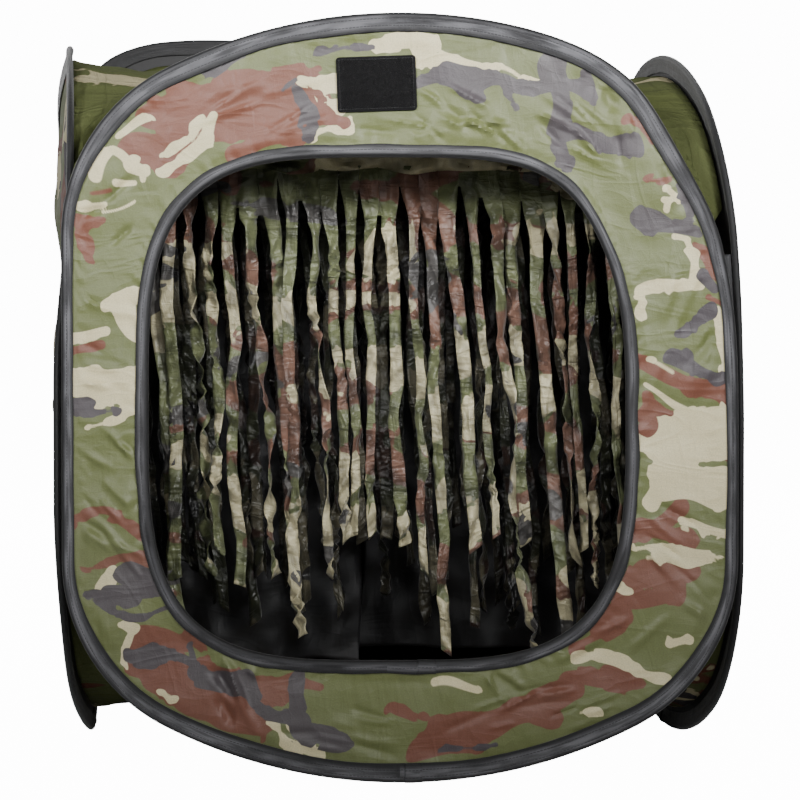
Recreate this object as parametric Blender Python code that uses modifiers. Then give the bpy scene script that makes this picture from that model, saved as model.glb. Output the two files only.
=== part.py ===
"""Pop-up camouflage blind: a cube of four hinged hoop walls with an open front.

Each wall is a rounded square of thin cloth held taut by a spring wire hoop.  The wire runs
in a folded binding tape whose mouth grips the cloth.  The walls are sewn together along
their upright sides, a roof and a floor of cloth close the ends, and rows of cloth strips
and two backing sheets hang from headers under the roof.

Metres, +Z up.  The front faces -Y.  The origin is on the ground under the middle.
"""
from math import cos, pi, radians, sin, sqrt

import bmesh
import bpy
import numpy as np
from mathutils import Vector
from mathutils.bvhtree import BVHTree

# ---- Driving dimensions -------------------------------------------------------------

WALL_WIDTH = 0.580           # outer width of every hoop
WALL_HEIGHT = 0.660          # outer height of the front and side hoops
CROWN_RADIUS = 0.445         # arch of their top and bottom edges
CORNER_RADIUS = 0.162        # their rounded corners
REAR_HEIGHT = 0.700          # the rear hoop stands taller and squarer
REAR_CROWN_RADIUS = 1.150
REAR_CORNER_RADIUS = 0.115
LEAN = radians(6.0)          # how far the side walls stand off square, in plan
OUTLINE_POINTS = 48          # straight runs in each hoop, an even number

OPENING_LEFT = 0.075         # front opening's clear edges, in from the hoop's outer edge
OPENING_RIGHT = 0.097
OPENING_BELOW = 0.106
OPENING_ABOVE = 0.124
OPENING_SQUARENESS = 3.6     # exponent of its rounded-square outline

CLOTH = 0.0010               # thickness of the wall, roof and floor cloth
TAPE = 0.0008                # thickness of the binding tape
BINDING_WIDTH = 0.0165       # binding tape seen on the outer edges
OPENING_BINDING_WIDTH = 0.0115
WIRE_RADIUS = 0.0010
FERRULE_WALL = 0.00055
FERRULE_LENGTH = 0.024
WIRE_END_GAP = 0.0010        # between the two wire ends inside their ferrule
CLEARANCE = 0.0003           # between pieces that touch
SEAM_GAP = 0.0009            # slack in the sewn upright seams

SEAM_INSET = 0.0135          # roof and floor seam line, in from the hoop's outer edge
SEAM_WANDER = 0.0040         # how far the straight runs of the seam stray outwards
SEAM_SPREAD = 0.0110         # how far in from the corner the seam lines meet
CORNER_HEIGHT = 0.180        # height above the ground where the floor's corners end
SHEET_GRID = 12              # runs along each side of the roof and floor cloth
ROOF_BILLOW = 0.022          # lift of the roof's middle over a flat stretched sheet
FLOOR_BILLOW = 0.012         # drop of the floor's middle, the same way

PATCH_WIDTH = 0.0680         # loop fastener patch over the opening
PATCH_HEIGHT = 0.0470
PATCH_THICKNESS = 0.0016
PATCH_CORNER = 0.0025
PATCH_OFFSET_X = -0.0200
PATCH_DROP = 0.0610          # its middle, below the top of the front hoop
PATCH_TILT = radians(2.0)

HEADER_DROP = 0.129          # lower edge of every header, below the top of the front hoop
HEADER_STEP = 0.012          # spacing of the points along a header's top edge
HEADER_MARGIN = 0.0060       # from a header's ends to the side walls' middle planes
HANG_MARGIN = 0.0250         # the same for what hangs under a header
STRIP_PITCH = 0.0180
STRIP_WIDTH = 0.0118
STRIP_BAND = 0.0120          # uncut band along the top of a row of strips
STRIP_ENDS_LOW = 0.091       # heights between which the strips' ends lie
STRIP_ENDS_HIGH = 0.201
BACKING_BOTTOM = 0.052       # height of the backing sheets' lower edges
BACKING_SPLIT = -0.012       # where the two sheets meet, from the middle of the cube
BACKING_LAP_GAP = 0.004

CORNER_TAPE_LEG = 0.0150     # each leg of a seam tape inside an upright corner
CORNER_TAPE_MARGIN = 0.205   # from its ends to the ground and to the hoops' top

# Distance of each hanging row behind the front wall, and its colour
STRIP_ROWS = {
    "curtain_front": (0.100, (0.42, 0.43, 0.28)),
    "curtain_middle": (0.190, (0.33, 0.34, 0.22)),
    "curtain_rear": (0.280, (0.26, 0.27, 0.18)),
}
BACKING_ROWS = {
    "backing_left": (0.375, (0.035, 0.036, 0.038)),
    "backing_right": (0.445, (0.022, 0.022, 0.024)),
}

# ---- Sizes that follow from them ----------------------------------------------------

OPENING_WIDTH = WALL_WIDTH - OPENING_LEFT - OPENING_RIGHT
OPENING_HEIGHT = WALL_HEIGHT - OPENING_BELOW - OPENING_ABOVE
OPENING_CENTRE = Vector(((OPENING_LEFT - OPENING_RIGHT) / 2, OPENING_BELOW + OPENING_HEIGHT / 2))
PATCH_CENTRE_Z = WALL_HEIGHT - PATCH_DROP
HEADER_BOTTOM = WALL_HEIGHT - HEADER_DROP
STRIP_SHORTEST = HEADER_BOTTOM - STRIP_ENDS_HIGH
STRIP_LONGEST = HEADER_BOTTOM - STRIP_ENDS_LOW

FERRULE_BORE = WIRE_RADIUS + CLEARANCE
FERRULE_RADIUS = FERRULE_BORE + FERRULE_WALL
PINCH = CLOTH / 2 + CLEARANCE + TAPE / 2            # tape's middle, at its mouth
POCKET = FERRULE_RADIUS + CLEARANCE + TAPE          # tape's middle, beside the wire
HALF_THICKNESS = POCKET + TAPE / 2                  # of a whole wall, at its hoop
WIRE_INSET = TAPE + 2 * CLEARANCE + FERRULE_RADIUS  # wire, in from the outer edge
CLOTH_INSET = WIRE_INSET + FERRULE_RADIUS + 2 * CLEARANCE
TAPE_SLOPE = (POCKET - PINCH) / (BINDING_WIDTH - WIRE_INSET)
TAPE_AT_SEAM = PINCH + TAPE_SLOPE * (BINDING_WIDTH - SEAM_INSET + SEAM_WANDER) + TAPE / 2
SEAM_STANDOFF = TAPE_AT_SEAM + CLEARANCE + CLOTH / 2

DEPTH_STEP = Vector((-sin(LEAN), cos(LEAN), 0))     # along the side walls, rearwards
SIDE_STEP = Vector((cos(LEAN), sin(LEAN), 0))       # square to them, to the right
FRONT_CENTRE = -DEPTH_STEP * WALL_WIDTH / 2 - Vector((0, HALF_THICKNESS + SEAM_GAP, 0))
SEAM_OFFSET = Vector((0, HALF_THICKNESS + SEAM_GAP, 0))
FRONT_LEFT = FRONT_CENTRE + SEAM_OFFSET - Vector((WALL_WIDTH / 2, 0, 0))
FRONT_RIGHT = FRONT_CENTRE + SEAM_OFFSET + Vector((WALL_WIDTH / 2, 0, 0))
REAR_LEFT = FRONT_LEFT + DEPTH_STEP * WALL_WIDTH


def clear_scene():
    """Remove every object, so that the script can be run again."""
    for old in list(bpy.data.objects):
        bpy.data.objects.remove(old, do_unlink=True)


def make_collection(name):
    """A collection of the given name, linked to the scene."""
    collection = bpy.data.collections.get(name) or bpy.data.collections.new(name)
    if name not in bpy.context.scene.collection.children:
        bpy.context.scene.collection.children.link(collection)
    return collection


def make_material(name, colour, roughness, metallic=0.0):
    """A plain Principled material."""
    material = bpy.data.materials.new(name)
    material.use_nodes = True
    shader = material.node_tree.nodes["Principled BSDF"]
    shader.inputs["Base Color"].default_value = (*colour, 1)
    shader.inputs["Roughness"].default_value = roughness
    shader.inputs["Metallic"].default_value = metallic
    return material


# ---- Outlines: closed loops of (across, up), anticlockwise from the bottom ----------

def even_loop(loop, count):
    """Space points evenly round a loop, half a run either side of its start."""
    loop = [Vector(p) for p in loop]
    ends = loop[1:] + loop[:1]
    lengths = [(b - a).length for a, b in zip(loop, ends)]
    step = sum(lengths) / count
    points, travelled, run = [], 0.0, 0
    for index in range(count):
        target = (index + 0.5) * step
        while travelled + lengths[run] < target:
            travelled += lengths[run]
            run += 1
        share = (target - travelled) / lengths[run]
        points.append(loop[run].lerp(ends[run], share))
    return points


def stand_on_ground(points):
    """Move a loop so that its lowest run lies at height 0."""
    lowest = min(p.y for p in points)
    return [Vector((p.x, p.y - lowest)) for p in points]


def mirrored_loop(quarter):
    """A full loop from one quarter that runs from the bottom to the right side."""
    lower = quarter + [(x, -z) for x, z in reversed(quarter[:-1])]
    return lower + [(-x, z) for x, z in reversed(lower[1:-1])]


def hoop_outline(width, height, crown_radius, corner_radius):
    """Arched top and bottom, round corners and straight sides, all tangent."""
    crown_centre = height / 2 - crown_radius
    corner_x = width / 2 - corner_radius
    corner_z = crown_centre + sqrt((crown_radius - corner_radius) ** 2 - corner_x ** 2)
    tangent = np.arctan2(corner_z - crown_centre, corner_x)
    crown = [(crown_radius * cos(a), -crown_centre - crown_radius * sin(a))
             for a in np.linspace(pi / 2, tangent, 40)]
    corner = [(corner_x + corner_radius * cos(a), -corner_z - corner_radius * sin(a))
              for a in np.linspace(tangent, 0, 40)]
    loop = mirrored_loop(crown[:-1] + corner + [(width / 2, 0)])
    return stand_on_ground(even_loop(loop, OUTLINE_POINTS))


def opening_outline():
    """Rounded square whose four sides are all slightly arched."""
    power = 2 / OPENING_SQUARENESS
    quarter = [(OPENING_WIDTH / 2 * abs(sin(a)) ** power,
                -OPENING_HEIGHT / 2 * abs(cos(a)) ** power)
               for a in np.linspace(0, pi / 2, 120)]
    points = even_loop(mirrored_loop(quarter), OUTLINE_POINTS)
    return [p + OPENING_CENTRE for p in points]


def inset(points, distance):
    """The same loop moved inwards, run parallel to run; outwards if negative."""
    moved = []
    for index, point in enumerate(points):
        before = (point - points[index - 1]).normalized()
        after = (points[(index + 1) % len(points)] - point).normalized()
        inward = Vector((-before.y - after.y, before.x + after.x))
        moved.append(point + inward * distance / (1 + before.dot(after)))
    return moved


# ---- Shapes -------------------------------------------------------------------------

def skin(name, rows, closed):
    """An open surface lofted through equal rows of points."""
    mesh = bpy.data.meshes.new(name)
    bm = bmesh.new()
    verts = [[bm.verts.new(p) for p in row] for row in rows]
    pairs = list(zip(verts, verts[1:] + verts[:1]))
    for row, following in (pairs if closed else pairs[:-1]):
        for a, b, c, d in zip(row, row[1:], following[1:], following):
            bm.faces.new((a, b, c, d))
    bm.to_mesh(mesh)
    bm.free()
    mesh.shade_smooth()
    mesh.set_sharp_from_angle(angle=radians(50))
    return mesh


def thicken(thing, thickness, offset=0.0):
    """Give an open surface its thickness, half to each side unless told otherwise."""
    solid = thing.modifiers.new("Thickness", "SOLIDIFY")
    solid.thickness = thickness
    solid.offset = offset
    solid.use_even_offset = True


def place(thing, material, parent=None):
    """Give a sub-part its material, its parent and its collection."""
    thing.data.materials.append(material)
    thing.parent = parent
    PARTS.objects.link(thing)
    return thing


def flat_sheet(name, loops, thickness, material, parent=None, location=(0, 0, 0)):
    """An upright flat sheet in the XZ plane, cut to its outer loop and any holes."""
    curve = bpy.data.curves.new(name, "CURVE")
    curve.dimensions = "2D"
    curve.fill_mode = "BOTH"
    curve.extrude = thickness / 2
    for loop in loops:
        spline = curve.splines.new("POLY")
        spline.points.add(len(loop) - 1)
        for point, (x, z) in zip(spline.points, loop):
            point.co = (x, z, 0, 1)
        spline.use_cyclic_u = True
    sheet = bpy.data.objects.new(name, curve)
    sheet.rotation_euler = (pi / 2, 0, 0)
    sheet.location = location
    return place(sheet, material, parent)


def binding(name, outline, width, side, material, parent, location):
    """Folded tape round an edge, its mouth open to the cloth that it grips.

    side is 1 for a tape round the outside of a sheet and -1 for one round a hole.
    """
    section = [(width, PINCH), (WIRE_INSET, POCKET), (TAPE / 2, PINCH)]
    section += [(depth, -across) for depth, across in reversed(section)]
    loops = [inset(outline, side * depth) for depth, _ in section]
    rows = [[(loop[i].x, across, loop[i].y) for loop, (_, across) in zip(loops, section)]
            for i in range(len(outline))]
    if side < 0:
        rows.reverse()
    tape = bpy.data.objects.new(name, skin(name, rows, closed=True))
    tape.location = location
    thicken(tape, TAPE)
    return place(tape, material, parent)


def wire_hoop(name, outline, side, material, parent, location):
    """Spring wire lying in the fold of the tape, its two ends butted at the bottom."""
    loop = inset(outline, side * WIRE_INSET)
    middle = (loop[0].x + loop[-1].x) / 2
    start = Vector((middle + WIRE_END_GAP / 2, loop[0].y))
    finish = Vector((middle - WIRE_END_GAP / 2, loop[0].y))
    points = [start] + loop + [finish]
    curve = bpy.data.curves.new(name, "CURVE")
    curve.dimensions = "3D"
    curve.bevel_depth = WIRE_RADIUS
    curve.bevel_resolution = 1
    curve.use_fill_caps = True
    spline = curve.splines.new("POLY")
    spline.points.add(len(points) - 1)
    for point, place_on_path in zip(spline.points, points):
        point.co = (place_on_path.x, 0, place_on_path.y, 1)
    hoop = bpy.data.objects.new(name, curve)
    hoop.location = location
    return place(hoop, material, parent)


def ferrule(name, outline, side, material, parent, location):
    """Crimped sleeve over the two wire ends."""
    loop = inset(outline, side * WIRE_INSET)
    middle = Vector(((loop[0].x + loop[-1].x) / 2, 0, loop[0].y))
    bm = bmesh.new()
    bmesh.ops.create_cone(bm, cap_ends=False, segments=12, radius1=FERRULE_RADIUS,
                          radius2=FERRULE_RADIUS, depth=FERRULE_LENGTH)
    mesh = bpy.data.meshes.new(name)
    bm.to_mesh(mesh)
    bm.free()
    mesh.shade_smooth()
    sleeve = bpy.data.objects.new(name, mesh)
    sleeve.rotation_euler = (0, pi / 2, 0)
    sleeve.location = Vector(location) + middle
    thicken(sleeve, FERRULE_WALL, offset=-1.0)
    return place(sleeve, material, parent)


# ---- Walls --------------------------------------------------------------------------

class Wall:
    """One hoop wall: where it stands, its outline, and the empty that it turns on.

    Across runs along the wall and outwards is its -Y, both in the wall's own frame.
    """

    def __init__(self, name, centre, turn, outline):
        self.name = name
        self.centre = centre
        self.turn = turn
        self.outline = outline
        self.across = Vector((cos(turn), sin(turn), 0))
        self.inward = Vector((-sin(turn), cos(turn), 0))
        self.pivot = None
        self.offset = centre

    def hang_on(self, pivot, parent=None):
        """Turn the wall on an empty at the seam's hinge line."""
        self.pivot = bpy.data.objects.new(self.name + "_hinge", None)
        self.pivot.empty_display_size = 0.03
        PARTS.objects.link(self.pivot)
        to_centre = self.centre - pivot
        self.offset = Vector((to_centre.dot(self.across), to_centre.dot(self.inward), 0))
        if parent is None:
            self.pivot.location = pivot
            self.pivot.rotation_euler = (0, 0, self.turn)
            return
        arm = pivot - parent.pivot.location
        self.pivot.parent = parent.pivot
        self.pivot.location = (arm.dot(parent.across), arm.dot(parent.inward), 0)
        self.pivot.rotation_euler = (0, 0, self.turn - parent.turn)

    def point(self, across, inward, up):
        """A point of the wall's frame in the world."""
        return self.centre + self.across * across + self.inward * inward + Vector((0, 0, up))


def build_wall(wall, cloth, openings=()):
    """Cloth, folded binding, spring wire and ferrule of one wall."""
    loops = [inset(wall.outline, CLOTH_INSET)]
    loops += [inset(hole, -CLOTH_INSET) for hole in openings]
    at = wall.offset
    flat_sheet(wall.name + "_panel", loops, CLOTH, cloth, wall.pivot, at)
    binding(wall.name + "_binding", wall.outline, BINDING_WIDTH, 1, TAPE_GREY, wall.pivot, at)
    wire_hoop(wall.name + "_hoop", wall.outline, 1, SPRING_STEEL, wall.pivot, at)
    ferrule(wall.name + "_ferrule", wall.outline, 1, CRIMP_METAL, wall.pivot, at)


def build_opening(front, hole):
    """Binding, wire and ferrule round the front opening."""
    at = front.offset
    width = OPENING_BINDING_WIDTH
    binding("opening_binding", hole, width, -1, TAPE_GREY, front.pivot, at)
    wire_hoop("opening_hoop", hole, -1, SPRING_STEEL, front.pivot, at)
    ferrule("opening_ferrule", hole, -1, CRIMP_METAL, front.pivot, at)


def build_patch(front):
    """Loop fastener patch sewn to the front, above the opening."""
    bm = bmesh.new()
    bmesh.ops.create_cube(bm, size=1.0)
    bmesh.ops.scale(bm, vec=(PATCH_WIDTH, PATCH_THICKNESS, PATCH_HEIGHT), verts=bm.verts)
    mesh = bpy.data.meshes.new("loop_patch")
    bm.to_mesh(mesh)
    bm.free()
    patch = bpy.data.objects.new("loop_patch", mesh)
    standoff = CLOTH / 2 + CLEARANCE + PATCH_THICKNESS / 2
    patch.location = front.centre + Vector((PATCH_OFFSET_X, -standoff, PATCH_CENTRE_Z))
    patch.rotation_euler = (0, -PATCH_TILT, 0)
    rounded = patch.modifiers.new("Corners", "BEVEL")
    rounded.width = PATCH_CORNER
    rounded.segments = 3
    rounded.limit_method = "WEIGHT"
    upright = mesh.attributes.new("bevel_weight_edge", "FLOAT", "EDGE")
    for edge in mesh.edges:
        start, finish = (mesh.vertices[v].co for v in edge.vertices)
        upright.data[edge.index].value = 1.0 if abs(start.y - finish.y) > 0 else 0.0
    return place(patch, LOOP_BLACK)


# ---- Roof and floor: cloth stretched between the four hoops -------------------------

def seam_line(wall, upper, towards_rear):
    """Points of a wall's seam with the roof or floor, evenly spaced, in the world."""
    top = max(p.y for p in wall.outline)
    corner = WALL_HEIGHT - CORNER_HEIGHT if upper else CORNER_HEIGHT
    kept = [p for p in inset(wall.outline, SEAM_INSET) if (p.y > corner) == upper]
    kept.sort(key=lambda p: np.arctan2(p.x, (p.y - top / 2) * (1 if upper else -1)))
    if not towards_rear:
        kept.reverse()
    kept.insert(0, Vector((kept[0].x, corner)))
    kept.append(Vector((kept[-1].x, corner)))
    steps = [0.0]
    for a, b in zip(kept, kept[1:]):
        steps.append(steps[-1] + (b - a).length)
    even = np.linspace(0, steps[-1], SHEET_GRID + 1)
    across = np.interp(even, steps, [p.x for p in kept])
    up = np.interp(even, steps, [p.y for p in kept])
    return np.array([wall.point(a, SEAM_STANDOFF, z) for a, z in zip(across, up)])


def stretched_sheet(walls, upper, billow):
    """Grid of points pulled taut between the seam lines, like a soap film."""
    front, left, right, rear = (
        seam_line(wall, upper, forwards) for wall, forwards in
        zip(walls, (True, False, True, False)))
    size = SHEET_GRID + 1
    grid = np.zeros((size, size, 3))
    share = np.linspace(0, 1, size)[:, None]
    for row in range(size):
        grid[row] = left[row] * (1 - share) + right[row] * share
    grid[0], grid[-1] = front, rear
    middle = grid[[0, 0, -1, -1], [0, -1, 0, -1]].mean(axis=0)
    for (row, column), (one, other) in zip(
            ((0, 0), (0, -1), (-1, 0), (-1, -1)),
            ((front[0], left[0]), (front[-1], right[0]), (rear[0], left[-1]),
             (rear[-1], right[-1]))):
        meeting = (one + other) / 2
        inward = (middle - meeting) * (1, 1, 0)
        grid[row, column] = meeting + inward / np.linalg.norm(inward) * SEAM_SPREAD / 2
    pull = np.array([0, 0, (billow if upper else -billow) / (0.295 * SHEET_GRID ** 2)])
    for _ in range(SHEET_GRID ** 2 * 4):
        around = grid[:-2, 1:-1] + grid[2:, 1:-1] + grid[1:-1, :-2] + grid[1:-1, 2:]
        grid[1:-1, 1:-1] = around / 4 + pull
    return [[Vector(p) for p in row] for row in grid]


def build_sheet(name, walls, upper, billow, material):
    """The roof or the floor, and the tree used to find the height of its cloth."""
    rows = stretched_sheet(walls, upper, billow)
    sheet = bpy.data.objects.new(name, skin(name, rows, closed=False))
    thicken(sheet, CLOTH)
    place(sheet, material)
    bm = bmesh.new()
    bm.from_mesh(sheet.data)
    tree = BVHTree.FromBMesh(bm)
    bm.free()
    return tree


# ---- Hanging rows -------------------------------------------------------------------

def row_span(front, depth, margin):
    """Left and right ends of a row that hangs at a depth behind the front wall."""
    behind = front.centre.y + depth
    along = (behind - FRONT_LEFT.y) / DEPTH_STEP.y
    left = FRONT_LEFT + DEPTH_STEP * along
    right = FRONT_RIGHT + DEPTH_STEP * along
    return left.x + margin, right.x - margin, behind


def build_header(name, front, depth, roof, material, start=None, finish=None):
    """Band sewn under the roof, its top edge cut to the roof's underside."""
    left, right, behind = row_span(front, depth, HEADER_MARGIN)
    left = left if start is None else start
    right = right if finish is None else finish
    count = max(2, round((right - left) / HEADER_STEP))
    top = []
    for x in np.linspace(right, left, count + 1):
        hit, normal, _, _ = roof.ray_cast(Vector((x, behind, 0)), Vector((0, 0, 1)))
        drop = CLOTH / 2 * (1 + abs(normal.y)) / abs(normal.z) + 3 * CLEARANCE
        top.append((x, hit.z - drop))
    loop = [(left, HEADER_BOTTOM), (right, HEADER_BOTTOM)] + top
    return flat_sheet(name, [loop], CLOTH, material, location=(0, behind, 0))


def hanging_pivot(name, behind):
    """Empty on the line of stitches that a hanging piece swings from."""
    pivot = bpy.data.objects.new(name + "_swing", None)
    pivot.empty_display_size = 0.02
    pivot.location = (0, behind, HEADER_BOTTOM)
    PARTS.objects.link(pivot)
    return pivot


def build_strips(name, front, depth, material):
    """A row of narrow strips cut from one band, of unequal lengths."""
    left, right, behind = row_span(front, depth, HANG_MARGIN)
    pivot = hanging_pivot(name, behind)
    count = int((right - left - STRIP_WIDTH) / STRIP_PITCH) + 1
    slack = right - left - STRIP_WIDTH - (count - 1) * STRIP_PITCH
    start = left + slack / 2
    golden = (sqrt(5) - 1) / 2
    lower = []
    for index in range(count):
        share = (index * golden + depth * 10) % 1.0
        length = STRIP_SHORTEST + (STRIP_LONGEST - STRIP_SHORTEST) * share
        x = start + index * STRIP_PITCH
        lower += [(x, -STRIP_BAND), (x, -length), (x + STRIP_WIDTH, -length),
                  (x + STRIP_WIDTH, -STRIP_BAND)]
    loop = lower + [(start + (count - 1) * STRIP_PITCH + STRIP_WIDTH, -CLEARANCE),
                    (start, -CLEARANCE)]
    return flat_sheet(name + "_strips", [loop], CLOTH, material, parent=pivot)


def build_backing(name, front, depth, roof, material, on_left):
    """A plain backing sheet that hangs behind the strips, on its own header."""
    left, right, behind = row_span(front, depth, HANG_MARGIN)
    header_left, header_right, _ = row_span(front, depth, HEADER_MARGIN)
    if on_left:
        right = header_right = BACKING_SPLIT
    else:
        left = header_left = BACKING_SPLIT + BACKING_LAP_GAP
    build_header(name + "_header", front, depth, roof, material, header_left, header_right)
    pivot = hanging_pivot(name, behind)
    bottom = BACKING_BOTTOM - HEADER_BOTTOM
    loop = [(left, bottom), (right, bottom), (right, -CLEARANCE), (left, -CLEARANCE)]
    return flat_sheet(name + "_sheet", [loop], CLOTH, material, parent=pivot)


# ---- Seam tapes in the upright corners ----------------------------------------------

def build_corner_tape(name, corner, first, second, material):
    """Folded tape inside an upright seam: one leg along each wall."""
    standoff = HALF_THICKNESS + CLEARANCE + TAPE / 2
    along = [first.across * (1 if (first.centre - corner).dot(first.across) > 0 else -1),
             second.across * (1 if (second.centre - corner).dot(second.across) > 0 else -1)]
    inside = [first.inward, second.inward]
    bend = meeting_point(corner_plane(first, standoff), corner_plane(second, standoff))
    plan = [bend + along[0] * CORNER_TAPE_LEG, bend, bend + along[1] * CORNER_TAPE_LEG]
    ends = (CORNER_TAPE_MARGIN, WALL_HEIGHT - CORNER_TAPE_MARGIN)
    rows = [[Vector((p.x, p.y, z)) for p in plan] for z in ends]
    facing = (plan[1] - plan[0]).cross(Vector((0, 0, 1))).dot(inside[0])
    if facing < 0:
        rows.reverse()
    tape = bpy.data.objects.new(name, skin(name, rows, closed=False))
    thicken(tape, TAPE)
    return place(tape, material)


def corner_plane(wall, standoff):
    """A point and a direction: the upright plane inside a wall, seen from above."""
    return wall.centre + wall.inward * standoff, wall.across


def meeting_point(one, other):
    """Where two lines of the plan cross."""
    (p, d), (q, e) = one, other
    along = ((q.x - p.x) * e.y - (q.y - p.y) * e.x) / (d.x * e.y - d.y * e.x)
    return p + d * along


# ---- Assembly -----------------------------------------------------------------------

clear_scene()
PARTS = make_collection("pop_up_ground_blind")

CAMO_CLOTH = make_material("camo_cloth", (0.36, 0.38, 0.24), 0.62)
CAMO_LINING = make_material("camo_lining", (0.22, 0.23, 0.15), 0.75)
TAPE_GREY = make_material("binding_tape", (0.085, 0.085, 0.095), 0.70)
LOOP_BLACK = make_material("loop_pile", (0.018, 0.018, 0.018), 0.95)
SPRING_STEEL = make_material("spring_steel", (0.42, 0.43, 0.45), 0.35, 1.0)
CRIMP_METAL = make_material("crimped_ferrule", (0.55, 0.55, 0.56), 0.40, 1.0)


def build_blind():
    """Put the walls, the roof, the floor and everything that hangs together."""
    outline = hoop_outline(WALL_WIDTH, WALL_HEIGHT, CROWN_RADIUS, CORNER_RADIUS)
    rear_outline = hoop_outline(
        WALL_WIDTH, REAR_HEIGHT, REAR_CROWN_RADIUS, REAR_CORNER_RADIUS)
    hole = opening_outline()

    front = Wall("front", FRONT_CENTRE, 0.0, outline)
    left = Wall("left", FRONT_LEFT + DEPTH_STEP * WALL_WIDTH / 2, LEAN - pi / 2, outline)
    right = Wall("right", FRONT_RIGHT + DEPTH_STEP * WALL_WIDTH / 2, LEAN + pi / 2, outline)
    rear = Wall("rear", -FRONT_CENTRE, pi, rear_outline)

    hinge_shift = SIDE_STEP * HALF_THICKNESS
    left.hang_on(FRONT_LEFT + hinge_shift)
    right.hang_on(FRONT_RIGHT + hinge_shift)
    rear.hang_on(REAR_LEFT - hinge_shift, parent=left)

    build_wall(front, CAMO_CLOTH, openings=[hole])
    for wall in (left, right, rear):
        build_wall(wall, CAMO_CLOTH)
    build_opening(front, hole)
    build_patch(front)

    walls = (front, left, right, rear)
    roof = build_sheet("roof_panel", walls, True, ROOF_BILLOW, CAMO_CLOTH)
    build_sheet("floor_panel", walls, False, FLOOR_BILLOW, CAMO_CLOTH)

    for name, (depth, colour) in STRIP_ROWS.items():
        strip_cloth = make_material(name + "_cloth", colour, 0.7)
        build_header(name + "_header", front, depth, roof, CAMO_LINING)
        build_strips(name, front, depth, strip_cloth)
    for name, (depth, colour) in BACKING_ROWS.items():
        backing_cloth = make_material(name + "_cloth", colour, 0.8)
        build_backing(name, front, depth, roof, backing_cloth, name == "backing_left")

    corners = {
        "corner_tape_front_left": (FRONT_LEFT, front, left),
        "corner_tape_front_right": (FRONT_RIGHT, front, right),
        "corner_tape_rear_left": (-FRONT_RIGHT, rear, left),
        "corner_tape_rear_right": (-FRONT_LEFT, rear, right),
    }
    for name, (corner, first, second) in corners.items():
        build_corner_tape(name, corner, first, second, TAPE_GREY)


build_blind()
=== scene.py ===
"""Pop up camouflage blind, finished over its CAD frame.

Laid out as an add-on and run as a script: one operator for each kind of piece and one for
the stage.  Lengths are in metres.  Across and up lie in the plane of a wall, and inward is
square to it, towards the middle of the blind.
"""

from math import asin, atan2, cos, pi, radians, sin, sqrt

import bmesh
import bpy
import numpy as np
from bpy.props import FloatProperty, FloatVectorProperty, PointerProperty
from mathutils import Matrix, Vector
from mathutils.bvhtree import BVHTree


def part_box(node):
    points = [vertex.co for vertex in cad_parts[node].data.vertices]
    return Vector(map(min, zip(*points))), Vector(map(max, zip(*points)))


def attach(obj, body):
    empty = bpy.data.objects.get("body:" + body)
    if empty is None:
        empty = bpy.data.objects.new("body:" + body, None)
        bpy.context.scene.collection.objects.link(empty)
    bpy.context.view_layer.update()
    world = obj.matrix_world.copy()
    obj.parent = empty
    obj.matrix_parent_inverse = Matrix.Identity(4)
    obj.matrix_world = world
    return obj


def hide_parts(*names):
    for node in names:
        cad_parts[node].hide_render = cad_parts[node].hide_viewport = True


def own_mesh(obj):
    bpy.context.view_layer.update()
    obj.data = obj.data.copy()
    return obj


bl_info = {
    "name": "Pop up ground blind",
    "version": (1, 0, 0),
    "blender": (4, 5, 0),
    "location": "3D View > Sidebar > Blind",
    "description": "Cloth, bindings, strips and stage of a pop up ground blind",
    "category": "Object",
}

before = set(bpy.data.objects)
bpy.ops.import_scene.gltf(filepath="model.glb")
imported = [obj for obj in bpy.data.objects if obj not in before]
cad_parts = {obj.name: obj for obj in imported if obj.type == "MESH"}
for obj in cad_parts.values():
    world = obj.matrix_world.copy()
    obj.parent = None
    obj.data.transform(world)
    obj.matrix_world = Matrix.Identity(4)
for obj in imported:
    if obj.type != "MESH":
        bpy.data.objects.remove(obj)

# ---- Sizes read from the frame -------------------------------------------------------

FRONT_LOW, FRONT_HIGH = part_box("front_binding")
REAR_LOW, REAR_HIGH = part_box("rear_binding")
FRONT_MIDDLE = (FRONT_LOW + FRONT_HIGH) / 2
REAR_MIDDLE = (REAR_LOW + REAR_HIGH) / 2
HOLE_LOW, HOLE_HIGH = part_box("opening_binding")
PATCH_LOW, PATCH_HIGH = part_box("loop_patch")
PATCH_MIDDLE = (PATCH_LOW + PATCH_HIGH) / 2

# ---- Small lengths shared by several pieces ------------------------------------------

CLOTH = 0.0006               # thickness of the wall, roof and floor cloth
STRIP_CLOTH = 0.0004         # thickness of the strips
TAPE = 0.0006                # thickness of the binding tape and corner tape
WIRE_RADIUS = 0.0010
WIRE_INSET = 0.00325         # spring wire, in from a hoop's outer edge
FERRULE_LENGTH = 0.024
FERRULE_RADIUS = 0.0018
CRIMP_DEPTH = 0.0003
MOUTH = 0.0012               # middle of the tape from the cloth's middle, at its mouth
POCKET = 0.0030              # the same beside the wire
CLOTH_INSET = 0.0057         # edge of the cloth, in from the hoop's outer edge
TAPE_STEP = 0.0042           # length of the tape's faces
RIB_PITCH = 0.0011           # spacing of the ribs across the tape
STITCH_PITCH = 0.0032        # spacing of the tape's stitches
STITCH_LINES = (0.0068, 0.0135)  # its rows of stitches, from the middle of its fold
LAP_HALF = 0.016             # half the length of the tape's own lap
LAP_LIFT = 0.0006            # how far the upper layer of the lap stands off
JOIN = 0.004                 # where the lap starts, on from the middle of the hoop's foot
OPENING_JOIN = 0.026         # the same at the opening
WIRE_GAP = 0.0005            # from the wire's ends to the middle of the ferrule
SEAM_INSET = 0.0135          # roof and floor seam line, in from the hoop's outer edge
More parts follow.
